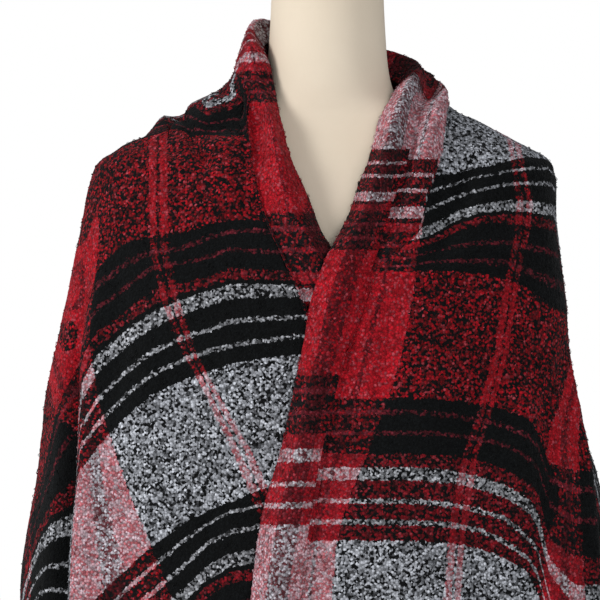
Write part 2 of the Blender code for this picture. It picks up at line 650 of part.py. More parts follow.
def build():
    """Make every piece of the scarf and of the form that it rests on."""
    for old in list(bpy.data.objects):
        bpy.data.objects.remove(old, do_unlink=True)
    red = plain_material("red check")
    grey = plain_material("grey check")
    cream = plain_material("cream")
    steel = plain_material("steel")
    black = plain_material("black base")

    front_panel("right_front", RIGHT_SHAPE, RIGHT_SEAM, True, red)
    front_panel("left_front", LEFT_SHAPE, LEFT_SEAM, False, grey)
    points, normals = rolled_edge()
    right_start = len(points) - len(ROLL_HEIGHTS)
    rolled_piece("left_front_roll", points, normals, 0, ROW_STEPS, red)
    rolled_piece("collar", points, normals, ROW_STEPS, right_start, red)
    rolled_piece("right_front_roll", points, normals, right_start, len(points) - 1, red)
    side_panel("left_arm_side", LEFT_SEAM, -BACK_SEAM, grey)
    back_panel("back", grey)
    side_panel("right_arm_side", RIGHT_SEAM, BACK_SEAM, grey)
    dress_form(cream)
    stand(steel, black)


build()
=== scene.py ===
"""Tartan blanket scarf worn as a shawl on a limbless dress form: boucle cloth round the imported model."""

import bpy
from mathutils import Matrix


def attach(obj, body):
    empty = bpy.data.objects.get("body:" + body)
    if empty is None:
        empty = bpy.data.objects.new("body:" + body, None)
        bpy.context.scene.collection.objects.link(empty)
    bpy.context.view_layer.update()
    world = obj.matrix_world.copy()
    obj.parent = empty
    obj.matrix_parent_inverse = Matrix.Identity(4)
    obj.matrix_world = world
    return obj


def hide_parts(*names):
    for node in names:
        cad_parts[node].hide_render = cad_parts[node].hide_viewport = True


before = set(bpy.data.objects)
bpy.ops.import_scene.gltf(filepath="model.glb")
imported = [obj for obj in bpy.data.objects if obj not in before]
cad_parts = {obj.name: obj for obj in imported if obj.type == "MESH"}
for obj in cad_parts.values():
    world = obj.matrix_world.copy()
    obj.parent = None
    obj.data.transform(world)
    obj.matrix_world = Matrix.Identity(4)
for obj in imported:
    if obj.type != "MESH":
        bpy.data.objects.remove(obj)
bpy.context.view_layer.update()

import math

import bmesh
import bpy
import numpy as np
from mathutils import Vector

MM = 0.001
# heights and lengths are in mm and angles in degrees from the front, minus to the viewer's left
FRONT_LAP_LIFT = 9.0  # the right front lies this far outside the left one
LAP_LIFT_FULL_X = 70.0  # the lap is fully lifted up to here from the middle
LAP_LIFT_END_X = 165.0
LAP_LIFT_TOP_Z = 800.0  # above this height the fronts are parted and the lift fades out
LAP_LIFT_FADE = 90.0
BACK_SEAM = 128.0  # where the arm side meets the back, on either side

# outer surface of the hanging cloth: height, left and right half width, front and back depth, squareness
CAPE = [
    (867, 103, 101, 58, 90, 2.1), (857, 112, 106, 60, 96, 2.2), (850, 126, 113, 62, 99, 2.2),
    (841, 143, 124, 65, 102, 2.3), (830, 161, 147, 70, 105, 2.3), (817, 177, 171, 77, 108, 2.3),
    (804, 204, 196, 85, 111, 2.3), (797, 218, 209, 88, 113, 2.4), (787, 227, 216, 93, 115, 2.5),
    (770, 232, 219, 99, 118, 2.5), (740, 238, 218, 107, 121, 2.5), (700, 246, 222, 115, 124, 2.5),
    (650, 256, 230, 120, 127, 2.5), (600, 265, 231, 124, 129, 2.5), (550, 269, 239.5, 127, 131, 2.5),
    (500, 272.5, 253, 129, 133, 2.5), (430, 283, 264, 132, 136, 2.5), (368, 290, 273, 135, 138, 2.5),
    (280, 296, 285, 139, 141, 2.5), (200, 299, 295, 142, 144, 2.5), (100, 301, 304, 145, 146, 2.5),
]
# bottom edge of the cloth round the body: angle and height
HEM = [
    (-180, 262), (-155, 250), (-135, 212), (-112, 140), (-90, 104), (-66, 108), (-40, 132), (0, 166), (40, 146),
    (72, 112), (92, 104), (114, 146), (135, 216), (155, 252), (180, 262),
]
# where the fronts meet the arm sides, in the groove behind the fold at each arm: height, left and right angle
ARM_SEAMS = [
    (100, -53, 53.5), (368, -57.5, 71.5), (610, -62.5, 86), (720, -67, 82), (800, -69, 79), (870, -69, 79),
]
# largest folds of the hanging cloth, straight ridges or troughs: height and angle at the top and low down,
# width in degrees, rise, and the share of their length over which the upper and lower end fade
FOLDS = [
    (740, -58, 100, -45, 6, 9, 0.3, 0), (720, -66.5, 100, -53.5, 4.5, -17, 0.3, 0),
    (858, -32, 806, -36, 9, -8, 0.3, 0.4), (846, -88, 786, -28, 5, -7, 0.15, 0.4),
    (842, -104, 800, -52, 7, 4, 0.2, 0.4), (640, 82, 100, 44, 5.5, 8, 0.15, 0),
    (620, 88.5, 100, 53, 4, -15, 0.15, 0), (806, 33, 680, 21, 5, -8, 0.25, 0.4), (600, 102, 100, 84, 9, 7, 0.4, 0),
    (700, 119, 100, 110, 6, -9, 0.4, 0), (660, -98, 100, -86, 10, 7, 0.4, 0), (700, -116, 100, -108, 6, -9, 0.4, 0),
    (800, 146, 100, 138, 7, 12, 0.5, 0), (770, 158, 100, 153, 6, -10, 0.5, 0), (740, 174, 100, 170, 8, 10, 0.5, 0),
    (780, -168, 100, -164, 6, -10, 0.5, 0), (800, -150, 100, -147, 7, 12, 0.5, 0),
    (760, -138, 100, -133, 5, -6, 0.5, 0),
]
# the rolled front edges: height, x of the inner edge, outer edge and panel, then how far the inner edge, the
# roll, the valley and the soft fold beside it stand proud
RIGHT_ROLL = [
    (162, -92, -52, -47, 4, 17, 11, 9.8), (271, -84, -43, -38, 4, 19, 12, 9.8),
    (368, -75, -34, -29, 4, 21, 12, 9.8), (462, -63, -18.5, -13.5, 4, 22, 12, 9.8),
    (523, -46, -8, -3, 4, 22, 12, 9.8), (574, -35, 4, 9, 4.5, 22, 12, 9.8), (615, -26, 14, 19, 6, 22, 11, 9.8),
    (657, -18.5, 27, 33, 9, 22, 10, 9.8), (680, -11, 34, 42, 11, 22, 9, 9.8), (696, -5, 40, 54, 10, 22, 7, 10),
    (708, 1, 44, 68, 6, 21, 4, 10), (722, 8, 49, 82, -3, 20, 2, 10), (748, 20, 56, 90, -9, 19, 0, 11),
    (775, 29, 67, 98, -10, 18, -1, 13), (804, 40, 75, 108, -10, 17, -1, 15), (830, 46, 81, 114, -8, 15, 0, 17),
]
LEFT_ROLL = [
    (162, 50, 10, 6, 0, 2, 0.5, 0.2), (300, 48, 8, 4, 0, 2, 0.5, 0.2), (400, 46, 6, 2, 0, 2, 0.5, 0.2),
    (500, 42, 2, -2, 0, 2, 0.5, 0.2), (600, 34, -8, -12, 0, 2, 0.5, 0.2), (657, 22, -23, -28, -1, 3, 1, 0.3),
    (680, 14, -31, -37, -3, 5, 1, 0.4), (708, 2, -43, -49, -5, 11, 1, 0.5), (724, -7, -50.5, -57, -8, 14, 1, 1),
    (746, -15.5, -59, -66, -10, 16, 0, 1), (775, -27, -66, -75, -11, 16, -2, 0),
    (806, -39, -66, -80, -10, 16, -5, 0), (830, -45, -69, -88, -8, 15, -7, 0),
]
# sections of the collar from the viewer's left front, round the back of the neck, to the right front: angle,
# angle and height of the foot, then radius and height of the inner edge, the crest, the valley and second fold
COLLAR = [
    (-50, -40, 850, 66, 858, 84, 869, 92, 859, 97, 856), (-62, -69, 857, 64, 884, 80, 903, 91, 886, 97, 872),
    (-90, -96, 862, 62, 905, 77, 923.5, 86, 903, 94, 873), (-127, -128, 864, 64, 910, 77, 936, 90, 914, 98, 884),
    (-180, -180, 863, 68, 894, 81, 922, 94, 901, 100, 880),
    (127, 128, 860, 74, 877, 90, 901.5, 104, 893, 112, 883),
    (106, 106, 854, 72, 870, 91, 889.5, 101, 872, 111, 875), (82, 79, 846, 67, 866, 84, 876, 95, 852, 113, 863),
    (60, 66, 840, 70, 856, 84, 866, 94, 849, 112, 851),
]
# the dress form: height, half width, front and back depth, squareness of its plan
FORM = [
    (290, 160, 92, 100, 2.2), (300, 167, 99, 107, 2.2), (330, 164, 100, 108, 2.2), (380, 148, 95, 100, 2.2),
    (450, 124, 84, 86, 2.1), (520, 128, 86, 88, 2.1), (600, 147, 98, 98, 2.2), (670, 163, 102, 104, 2.3),
    (730, 178, 92, 106, 2.3), (770, 187, 81, 105, 2.3), (787, 187, 76, 103, 2.3), (798, 183, 72, 101, 2.2),
    (808, 175, 67, 97, 2.2), (817, 164.4, 62, 93, 2.2), (824, 149.5, 59, 89, 2.1), (832, 126, 56, 85, 2.1),
    (841, 94, 54, 79, 2), (850, 73, 54, 72, 2), (862, 63, 54.5, 65, 2), (880, 59, 54.5, 60, 2),
    (911, 56.5, 54, 57, 2), (950, 54.5, 53, 55, 2), (982, 53.5, 52.5, 54, 2), (990, 51, 50, 51.5, 2),
    (993, 46, 45, 46.5, 2),
]
CREST_PLACE = 0.45  # where the crest of a roll lies between its inner and outer edge
ROLL_ROW_STEP = 16.4  # between the last rows below the junction of roll and collar


# ---- curves through table rows
def smooth(rows, column):
    """A smooth function of the first column through the values of another one, without overshoot."""
    keys, values = (np.array([row[i] for row in rows], dtype=float) for i in (0, column))
    steps = np.diff(keys)
    slopes = np.diff(values) / steps
    tangents = np.concatenate([slopes[:1], np.zeros(len(keys) - 2), slopes[-1:]])
    for i in range(1, len(keys) - 1):
        if slopes[i - 1] * slopes[i] > 0.0:
            before, after = 2.0 * steps[i] + steps[i - 1], steps[i] + 2.0 * steps[i - 1]
            tangents[i] = (before + after) / (before / slopes[i - 1] + after / slopes[i])

    def value(at):
        at = np.clip(np.asarray(at, dtype=float), keys[0], keys[-1])
        i = np.clip(np.searchsorted(keys, at, side="right") - 1, 0, len(keys) - 2)
        step = steps[i]
        t = (at - keys[i]) / step
        return (values[i] * (2 * t**3 - 3 * t**2 + 1) + values[i + 1] * (3 * t**2 - 2 * t**3)
                + tangents[i] * step * (t**3 - 2 * t**2 + t) + tangents[i + 1] * step * (t**3 - t**2))

    return value


def through(points, at):
    """Points on a Catmull-Rom curve through a list of points, at fractional places in the list."""
    points = np.asarray(points, dtype=float)
    ends = np.vstack([2 * points[0] - points[1], points, 2 * points[-1] - points[-2]])
    i = np.clip(np.floor(at).astype(int), 0, len(points) - 2)
    t = (at - i)[:, None]
    a, b, c, d = ends[i], ends[i + 1], ends[i + 2], ends[i + 3]
    return b + 0.5 * t * (c - a + t * (2 * a - 5 * b + 4 * c - d + t * (3 * (b - c) + d - a)))


def ease(value):
    """0 below 0, 1 above 1 and smooth between."""
    value = np.clip(value, 0.0, 1.0)
    return value * value * (3.0 - 2.0 * value)


def numbered(rows, columns):
    """A grid of the numbers of its own cells."""
    return np.arange(rows * columns).reshape(rows, columns)


def short_way(angle):
    """The same angle between -180 and 180."""
    return (angle + 180.0) % 360.0 - 180.0


# ---- the hanging cloth
CAPE_LEFT, CAPE_RIGHT, CAPE_FRONT, CAPE_BACK, CAPE_SQUARE = (smooth(sorted(CAPE), i) for i in range(1, 6))
HEM_HEIGHT = smooth(HEM, 1)
LEFT_SEAM, RIGHT_SEAM = smooth(ARM_SEAMS, 1), smooth(ARM_SEAMS, 2)


def outline(angle, z, left, right, front, back, square):
    """Points of a rounded plan at angles and heights, from functions for its half widths and depths."""
    sine, cosine = np.sin(np.radians(angle)), np.cos(np.radians(angle))
    half = np.where(sine < 0.0, left(z), right(z))
    depth = np.where(cosine > 0.0, front(z), back(z))
    power = 2.0 / square(z)
    x = half * np.sign(sine) * np.abs(sine) ** power
    y = -depth * np.sign(cosine) * np.abs(cosine) ** power
    return np.stack([x, y, z + 0.0 * x], axis=-1)


def cape_base(angle, z):
    """Point of the plain cape outline, before its folds."""
    return outline(angle, z, CAPE_LEFT, CAPE_RIGHT, CAPE_FRONT, CAPE_BACK, CAPE_SQUARE)


def across(surface, angle, z):
    """Outward unit normals of a surface given by angle and height."""
    round_it = surface(angle + 0.5, z) - surface(angle - 0.5, z)
    normal = np.cross(round_it, surface(angle, z + 1.0) - surface(angle, z - 1.0))
    return normal / np.linalg.norm(normal, axis=-1, keepdims=True)


def front_angle(x, z):
    """Angle at which the front of the cape stands at a given x."""
    half = np.where(np.asarray(x) < 0.0, CAPE_LEFT(z), CAPE_RIGHT(z))
    share = np.clip(np.abs(x) / half, 0.0, 1.0)
    return np.degrees(np.arcsin(share ** (CAPE_SQUARE(z) / 2.0))) * np.sign(x)


def fold_rise(angle, z):
    """Height of all the straight folds at a place on the cape."""
    rise = 0.0 * (angle + z)
    for top, top_angle, low, low_angle, width, height, fade_in, fade_out in FOLDS:
        down = (top - z) / (top - low)
        aside = short_way(angle - (top_angle + (low_angle - top_angle) * np.clip(down, 0.0, 1.0)))
        fade = ease(down / fade_in)
        if fade_out > 0.0:
            fade = fade * ease((1.0 - down) / fade_out)
        rise = rise + height * np.exp(-((aside / width) ** 2)) * fade
    return rise


def cape(angle, z, lap=False):
    """Outer surface of the hanging cloth with its folds, and for the right front its lap over the left one."""
    angle, z = np.asarray(angle, dtype=float), np.asarray(z, dtype=float)
    base = cape_base(angle, z)
    rise = fold_rise(angle, z)
    if lap:
        aside = 1.0 - ease((base[..., 0] - LAP_LIFT_FULL_X) / (LAP_LIFT_END_X - LAP_LIFT_FULL_X))
        up = 1.0 - ease((z - (LAP_LIFT_TOP_Z - LAP_LIFT_FADE)) / LAP_LIFT_FADE)
        rise = rise + FRONT_LAP_LIFT * aside * up
    return base + across(cape_base, angle, z) * rise[..., None]


# ---- collar and rolled edges
RIGHT_SHAPE, LEFT_SHAPE = ([smooth(rows, i) for i in range(1, 8)] for rows in (RIGHT_ROLL, LEFT_ROLL))
OUTER_X = 2  # place in a shape of the x where the roll meets its panel
JUNCTION_Z = RIGHT_ROLL[-1][0]
ROLL_FOOT_Z = RIGHT_ROLL[0][0]


def roll_section(shape, z, lap):
    """Five points across a rolled front edge at one height, from its inner edge to the panel."""
    inner, edge, outer, *rises = (float(part(z)) for part in shape)
    z = np.array(z)
    points = []
    for x, rise in zip((inner, inner + CREST_PLACE * (edge - inner), edge, 0.5 * (edge + outer)), rises):
        angle = front_angle(x, z)
        points.append(cape_base(angle, z) + across(cape_base, angle, z) * rise)
    return points + [cape(front_angle(outer, z), z, lap)]


def collar_section(row):
    """Five points across the collar, from the inner edge at the neck to the foot on the shoulder."""
    foot = cape(row[1], row[2])
    skew = short_way(math.degrees(math.atan2(foot[0], -foot[1])) - row[0])
    points = []
    for i in range(4):
        radius, z = row[3 + 2 * i:5 + 2 * i]
        turn = math.radians(row[0] + skew * i / 4.0)
        points.append(np.array([radius * math.sin(turn), -radius * math.cos(turn), z]))
    return points + [foot]


def roll_foot(shape, z):
    """Angle and height of the outer edge of a rolled front edge."""
    return float(front_angle(float(shape[OUTER_X](z)), z)), z


def sections():
    """Key sections of collar and rolls near it, and their feet, from the left front round to the right."""
    left_z, right_z = (JUNCTION_Z - ROLL_ROW_STEP, JUNCTION_Z), (JUNCTION_Z, JUNCTION_Z - ROLL_ROW_STEP)
    points = [roll_section(LEFT_SHAPE, z, False) for z in left_z] + [collar_section(row) for row in COLLAR]
    points += [roll_section(RIGHT_SHAPE, z, True) for z in right_z]
    feet = [roll_foot(LEFT_SHAPE, z) for z in left_z]
    feet += [(row[1] - (360.0 if row[1] > 0 else 0.0), row[2]) for row in COLLAR]
    feet += [(roll_foot(RIGHT_SHAPE, z)[0] - 360.0, z) for z in right_z]
    return np.array(points), np.array(feet)


SECTIONS, FEET = sections()
FIRST_PLACE = 1  # place of the left junction in the list of sections
LAST_PLACE = len(SECTIONS) - 2


def foot_at(places):
    """Angle and height of the collar's foot at fractional places in the list of sections."""
    return through(FEET, places).T


def section_place(foot_angle):
    """Place in the list of the key section whose foot has this angle."""
    return FIRST_PLACE + 1 + [row[1] for row in COLLAR].index(foot_angle)


def seam_place(seam):
    """Place in the list of the key section where a front meets its arm side."""
    return section_place(float(seam(JUNCTION_Z)))


def hem_at(seam):
    """Height of the hem where a seam meets it."""
    return HEM_HEIGHT(seam(HEM_HEIGHT(seam(ARM_SEAMS[0][0]))))


# ---- from the surface to the picture plane
CAMERA_DISTANCE = 2600.0  # mm in front of the origin
CAMERA_HEIGHT = 659.0
CAMERA_ASIDE = -28.1
PICTURE_MM = 0.97  # one unit of the stripe tables, in mm at the middle of the form
PICTURE_LEFT = 329.0  # place of the form's middle in the stripe tables
PICTURE_TOP = 950.0  # height of the top row of the stripe tables


def seen_at(points):
    """Places in the stripe tables, across and down, of points in mm as the eye in front sees them."""
    scale = CAMERA_DISTANCE / (CAMERA_DISTANCE + points[..., 1])
    x = CAMERA_ASIDE + (points[..., 0] - CAMERA_ASIDE) * scale
    z = CAMERA_HEIGHT + (points[..., 2] - CAMERA_HEIGHT) * scale
    return PICTURE_LEFT + x / PICTURE_MM, (PICTURE_TOP - z) / PICTURE_MM


# ---- the check: where its lines lie
# Cross lines of the two fronts. A row is one edge or line: its place along the cloth, then how far down it is
# seen at each distance across. Lengthwise lines: place across the cloth, then how far across at each height.
LEFT_CROSS_AT = (84, 97, 124, 153, 182, 207, 230, 251, 295)
LEFT_CROSS = [
    (-197, 36, 40, 48, 60, 66, 80, 76, 60, 50), (-158, 48, 52, 60, 74, 78, 91, 85, 62, 56),
    (-141, 54, 58, 66, 80, 82, 104, 95, 74, 64), (-129, 60, 64, 72, 84, 85, 109, 101, 80, 70),
    (-94, 88, 92, 100, 116, 114, 124, 121, 118, 96), (-65, 108, 110, 120, 128, 130, 136, 136, 130, 103),
    (65, 285, 267, 242, 235, 232, 224, 220, 219, 222), (75, 303, 285, 264, 252, 248, 238, 231, 230, 232),
    (94, 330, 309, 287, 267, 262, 257, 249, 251, 253), (118, 360, 337, 316, 296, 286, 281, 272, 273, 275),
    (135, 388, 364, 338, 320, 306, 297, 291, 289, 290), (160, 422, 400, 373, 352, 338, 330, 321, 319, 317),
    (179, 442, 423, 396, 373, 359, 350, 345, 341, 335), (197, 466, 447, 418, 394, 380, 371, 364, 359, 354),
    (333, 620, 598, 572, 547, 525, 512, 503, 494, 480), (351, 642, 620, 593, 568, 543, 525, 512, 509, 496),
    (370, 665, 643, 616, 593, 568, 544, 533, 529, 514), (395, 694, 672, 646, 622, 598, 575, 561, 558, 548),
    (465, 766, 744, 718, 694, 670, 648, 634, 631, 621), (795, 1096, 1074, 1048, 1024, 1000, 978, 964, 961, 951),
]
RIGHT_CROSS_AT = (300, 408, 430, 456, 480, 505, 528, 538, 550, 575)
RIGHT_CROSS = [
    (727, 60, 62, 64, 60, 62, 66, 72, 76, 80, 90), (795, 118, 120, 118, 112, 116, 118, 120, 122, 124, 128),
    (863, 178, 180, 177, 174, 169, 162, 157, 158, 160, 166),
    (881, 196, 199, 192, 184, 178, 172, 169, 169, 169, 174),
    (900, 215, 218, 209, 197, 191, 184, 183, 183, 184, 188),
    (925, 238, 238, 232, 217, 210, 206, 207, 209, 212, 216),
    (942, 248, 248, 243, 229, 221, 218, 221, 223, 226, 232),
    (966, 258, 258, 252, 246, 243, 242, 246, 249, 253, 262),
    (985, 266, 266, 262, 261, 261, 262, 271, 276, 282, 292),
    (995, 272, 272, 271, 272, 274, 280, 288, 298, 308, 320),
    (1125, 398, 398, 398, 400, 403, 409, 420, 432, 462, 470),
    (1135, 412, 412, 413, 416, 420, 426, 438, 446, 478, 490),
    (1154, 433, 433, 433, 435, 439, 444, 459, 468, 503, 520),
    (1178, 458, 458, 459, 461, 465, 474, 489, 500, 548, 565),
    (1195, 472, 472, 473, 476, 482, 490, 505, 520, 566, 595),
    (1220, 500, 501, 502, 505, 511, 518, 538, 549, 600, 632),
    (1239, 521, 522, 523, 525, 530, 542, 558, 574, 622, 655),
    (1257, 540, 540, 541, 543, 548, 557, 571, 592, 643, 675),
    (1393, 676, 676, 677, 679, 684, 693, 707, 728, 779, 811),
    (1855, 1138, 1138, 1139, 1141, 1146, 1155, 1169, 1190, 1241, 1273),
]
LEFT_LONG_AT = (50, 100, 150, 200, 250, 302, 350, 400, 450, 500, 550, 600, 850)
LEFT_LONG = [
    (424, -40, -40, -40, -40, -40, -40, -42, -30, -17, -23, -25, -27, -20),
    (327, 60, 60, 58, 58, 60, 58, 55, 62, 74, 68, 66, 64, 70),
    (287, 98, 97, 95, 95, 95, 92, 90, 99, 115, 133, 154, 174, 232),
    (198, 150, 150, 150.3, 150.5, 151.5, 163.5, 183.5, 210.5, 234.5, 256, 282, 306, 390),
    (182, 170, 170, 170.5, 170.5, 171, 182, 197, 223.5, 253.5, 276, 302, 326, 410),
    (92, 240, 255, 261, 264, 285, 305, 322, 343, 366, 390, 415, 440, 520),
    (50, 270, 281, 290, 309, 331, 350, 372, 395, 418, 440, 466, 490, 570),
]
RIGHT_LONG_AT = (50, 100, 150, 200, 235, 250, 300, 350, 400, 430, 455, 485, 510, 534, 600, 850)
RIGHT_LONG = [
    (62, 420, 424, 411, 394, 381, 375, 362, 345, 334, 326, 320, 314, 309, 305, 297, 286),
    (92, 444, 448, 441, 424, 419, 416, 411, 401, 386, 374, 365, 352, 343, 336, 329, 320),
    (190, 495, 504, 513, 525, 523, 518, 508, 501, 488, 479, 470, 464, 459, 456, 451, 446),
    (287, 580, 585, 592, 600, 597, 594, 586, 573, 561, 551, 548, 560, 557, 547, 542, 536),
    (327, 616, 622, 628, 634, 626, 620, 610, 597, 581, 578, 578, 579, 579, 580, 584, 580),
    (424, 712, 718, 724, 730, 722, 716, 704, 690, 676, 673, 673, 674, 674, 675, 680, 676),
]
# where the cross lines meet the rolled edges: how far down it is seen, then the place along the cloth
LEFT_ROLL_CROSS = [
    (30, -175), (36, -165), (46, -150), (56, -137), (68, -122), (72, -112), (80, -94), (92, -75), (102, -65),
    (212, 65), (228, 75), (250, 94), (276, 118), (295, 135), (560, 395), (850, 685),
]
RIGHT_ROLL_CROSS = [
    (35, 727), (150, 863), (164, 881), (176, 900), (198, 925), (208, 942), (224, 966), (238, 985), (250, 995),
    (375, 1125), (390, 1135), (413, 1154), (438, 1178), (454, 1195), (484, 1220), (505, 1239), (524, 1257),
    (660, 1393), (850, 1583),
]
# the soft fold beside the right rolled edge, down to where it runs into the front
RIGHT_FOLD_CROSS = [
    (35, 727), (160, 863), (176, 881), (191, 900), (213, 925), (229, 942), (246, 966), (261, 985), (271, 995),
    (398, 1125), (412, 1135), (433, 1154), (458, 1178), (474, 1195), (501, 1220), (522, 1239), (540, 1257),
    (676, 1393), (1138, 1855),
]
# the cloth in the groove behind each arm fold: how far down it is seen, then places across and along
LEFT_ARM_CROSS = [
    (90, 110, -150), (150, 240, -50), (237, 302, 10), (320, 299, 55), (388, 302, 90), (410, 316, 97),
    (440, 330, 106), (480, 346, 120), (500, 352, 128), (550, 358, 152), (580, 362, 171), (602, 365, 188),
    (740, 376, 333), (860, 386, 450),
]
RIGHT_ARM_CROSS = [
    (90, 110, 770), (130, 190, 830), (160, 235, 863), (212, 262, 925), (300, 300, 932), (350, 318, 936),
    (415, 332, 942), (500, 338, 966), (560, 340, 990), (600, 342, 1015), (700, 346, 1110), (860, 350, 1265),
]
# place along the cloth at the sections of the collar, from the left roll to the right one: foot, then edge
COLLAR_CROSS = (-20, 40, 125, 160, 200, 300, 450, 606, 668, 730, 790, 838, 880)
COLLAR_EDGE_CROSS = (-20, 40, 125, 160, 200, 300, 450, 606, 636, 658, 790, 838, 880)
BACK_FOOT_ACROSS = 105.0  # cloth that the collar takes up, from the edge to its foot
EDGE_ACROSS = 50.0  # place across the cloth at the left roll's inner edge
CREST_ACROSS = 92.0  # and where its valley begins
ROLL_ACROSS = 62.0  # cloth that the right roll takes up to its groove
LOW_EDGE_LESS = 30.0  # low down, the left roll's inner edge is this much less far across the cloth
LOW_EDGE_FROM = 190.0  # this far down it begins, and over how much it comes in
LOW_EDGE_FADE = 45.0
PANEL_FROM = 3.9  # place across the right roll, from 0 to 4, where the panel's lines take over
STEP_WIDTH = 0.02  # share of the way between two key points over which the right roll's lines step
LEFT_TURN = (2.8, 1.4)  # sections after which the left roll's lines give way to the collar's, over how many
RIGHT_TURN = (9.2, 0.35)  # and before which, and over how many, the right roll's do


def gridded(rows, at, key, value):
    """Place on the cloth of points seen at value, between the lines that a table gives over key."""
    flat_key, flat_value = key.ravel(), value.ravel()
    heights = np.array([np.interp(flat_key, at, row[1:]) for row in rows])
    places = np.array([row[0] for row in rows])
    i = np.clip((heights < flat_value).sum(axis=0) - 1, 0, len(rows) - 2)
    column = np.arange(len(flat_value))
    low, high = heights[i, column], heights[i + 1, column]
    share = (flat_value - low) / (high - low)
    return (places[i] + (places[i + 1] - places[i]) * share).reshape(key.shape)


def along_table(rows, at, column):
    """A column of a table whose rows start with how far down it is seen, carried on straight past its ends."""
    keys, values = (np.array([row[i] for row in rows], dtype=float) for i in (0, column))
    low = values[0] + (at - keys[0]) * (values[1] - values[0]) / (keys[1] - keys[0])
    high = values[-1] + (at - keys[-1]) * (values[-1] - values[-2]) / (keys[-1] - keys[-2])
    return np.where(at < keys[0], low, np.where(at > keys[-1], high, np.interp(at, keys, values)))


def front_check(points, left):
    """Places across and along the cloth, on a front, from where its points are seen."""
    across_it, down_it = seen_at(points)
    tables = ((RIGHT_LONG, RIGHT_LONG_AT, RIGHT_CROSS, RIGHT_CROSS_AT, 1.0),
              (LEFT_LONG, LEFT_LONG_AT, LEFT_CROSS, LEFT_CROSS_AT, -1.0))
    long, long_at, cross, cross_at, sign = tables[left]
    return np.stack([gridded(long, long_at, down_it, across_it),
                     sign * gridded(cross, cross_at, across_it, down_it)], axis=-1)


def arm_check(points, left):
    """Places across and along the cloth in the groove behind an arm fold."""
    down_it = seen_at(points)[1]
    table, sign = (LEFT_ARM_CROSS, -1.0) if left else (RIGHT_ARM_CROSS, 1.0)
    return np.stack([along_table(table, down_it, 1), sign * along_table(table, down_it, 2)], axis=-1)


def roll_check(points, places, left):
    """Places on the cloth of a rolled front edge: its own lines on the roll, the panel's beside it."""
    panel = front_check(points, left)
    down_it = seen_at(points)[1]
    on_roll = np.minimum(places, 2.0)
    if left:
        edge = EDGE_ACROSS - LOW_EDGE_LESS * ease((down_it - LOW_EDGE_FROM) / LOW_EDGE_FADE)
        own = [edge + (CREST_ACROSS - edge) * on_roll / 2.0, -along_table(LEFT_ROLL_CROSS, down_it, 1)]
        beside = ease((places - 2.0) / 2.0)
    else:
        roll, fold = (along_table(table, down_it, 1) for table in (RIGHT_ROLL_CROSS, RIGHT_FOLD_CROSS))
        past = np.clip((places - 2.0) / 2.0, 0.0, 1.0)
        own = [0.5 * ROLL_ACROSS * on_roll + (panel[:, -1:, 0] - ROLL_ACROSS) * past,
               roll + (fold - roll) * ease((places - 2.0) / STEP_WIDTH)]
        beside = ease((places - PANEL_FROM) / STEP_WIDTH)
    own = np.stack(own, axis=-1)
    return own + (panel - own) * beside[..., None]


# ---- noise
BUMP_RADIUS = 0.70  # of the pebbles, in cells


def hashed(cells, seed):
    """A fixed random number from 0 to 1 for each whole-number cell."""
    mixed = np.full(cells.shape[:-1], seed * 0x9E3779B1 & 0xFFFFFFFF, dtype=np.uint64)
    for axis in range(cells.shape[-1]):
        mixed ^= (cells[..., axis].astype(np.int64) & 0xFFFFFFFF).astype(np.uint64)
        for factor, shift in ((0x85EBCA6B, 13), (0xC2B2AE35, 16)):
            mixed = (mixed * np.uint64(factor)) & np.uint64(0xFFFFFFFF)
            mixed ^= mixed >> np.uint64(shift)
    return mixed.astype(np.float64) / 4294967296.0


def soft_noise(places, seed):
    """Smooth noise from -1 to 1."""
    cell = np.floor(places)
    part = ease(places - cell)
    total = np.zeros(places.shape[:-1])
    for step in np.ndindex(*[2] * places.shape[-1]):
        step = np.array(step[::-1])
        total += np.prod(np.where(step == 1, part, 1.0 - part), axis=-1) * hashed(cell + step, seed)
    return 2.0 * total - 1.0


def pebbles(places, seed):
    """Rounded bumps, one in each cell at a random place, 0 between them and up to 1 on top."""
    cell = np.floor(places)
    height = np.zeros(places.shape[:-1])
    for step in np.ndindex(3, 3, 3):
        there = cell + (np.array(step) - 1)
        middle = there + 0.2 + 0.6 * np.stack([hashed(there, seed + k) for k in range(3)], axis=-1)
        size = 0.5 + 0.5 * hashed(there, seed + 3)
        far = np.sum((places - middle) ** 2, axis=-1) / BUMP_RADIUS**2
        height = np.maximum(height, size * np.sqrt(np.clip(1.0 - far, 0.0, 1.0)))
    return height


# ---- fine grids of the draped cloth
FINE_STEP = 1.6  # between points on the parts that face the front
SIDE_STEP = 2.5  # and round the arms and on the back
ROLL_STEP = 1.35
FRONT_SIZE = (700.0, 270.0)  # length and width of the stretches, for the number of points
ARM_SIZE = (730.0, 250.0)
BACK_SIZE = (640.0, 420.0)
ROLL_SIZE = (670.0, 58.0)
COLLAR_LENGTH = 430.0
INNER_EVERY = 4  # the inside of the cloth has one point for this many outside
THICKNESS_MM = 2.8
ARM_BLEND = (0.90, 0.995)  # share of a front's width over which its check runs into the arm groove
HIDDEN_ROWS = 24
HIDDEN_SIDE = 9
HIDDEN_BACK = 20
RELAX_ROUNDS = 260
STRIP_TILT = 22.0  # how much further along the cloth the lines run at the outer side of the left arm
STRIP_TOP = 640.0  # height where that begins, and over how many mm it comes in
STRIP_FADE = 130.0
STRIP_SKEW = 0.7  # below 1, the most tilt lies nearer the front than the back


def steps_for(lengths, step):
    """Numbers of grid points for lengths, each one more than a multiple of the inside's spacing."""
    return [INNER_EVERY * max(2, int(round(length / step / INNER_EVERY))) + 1 for length in lengths]


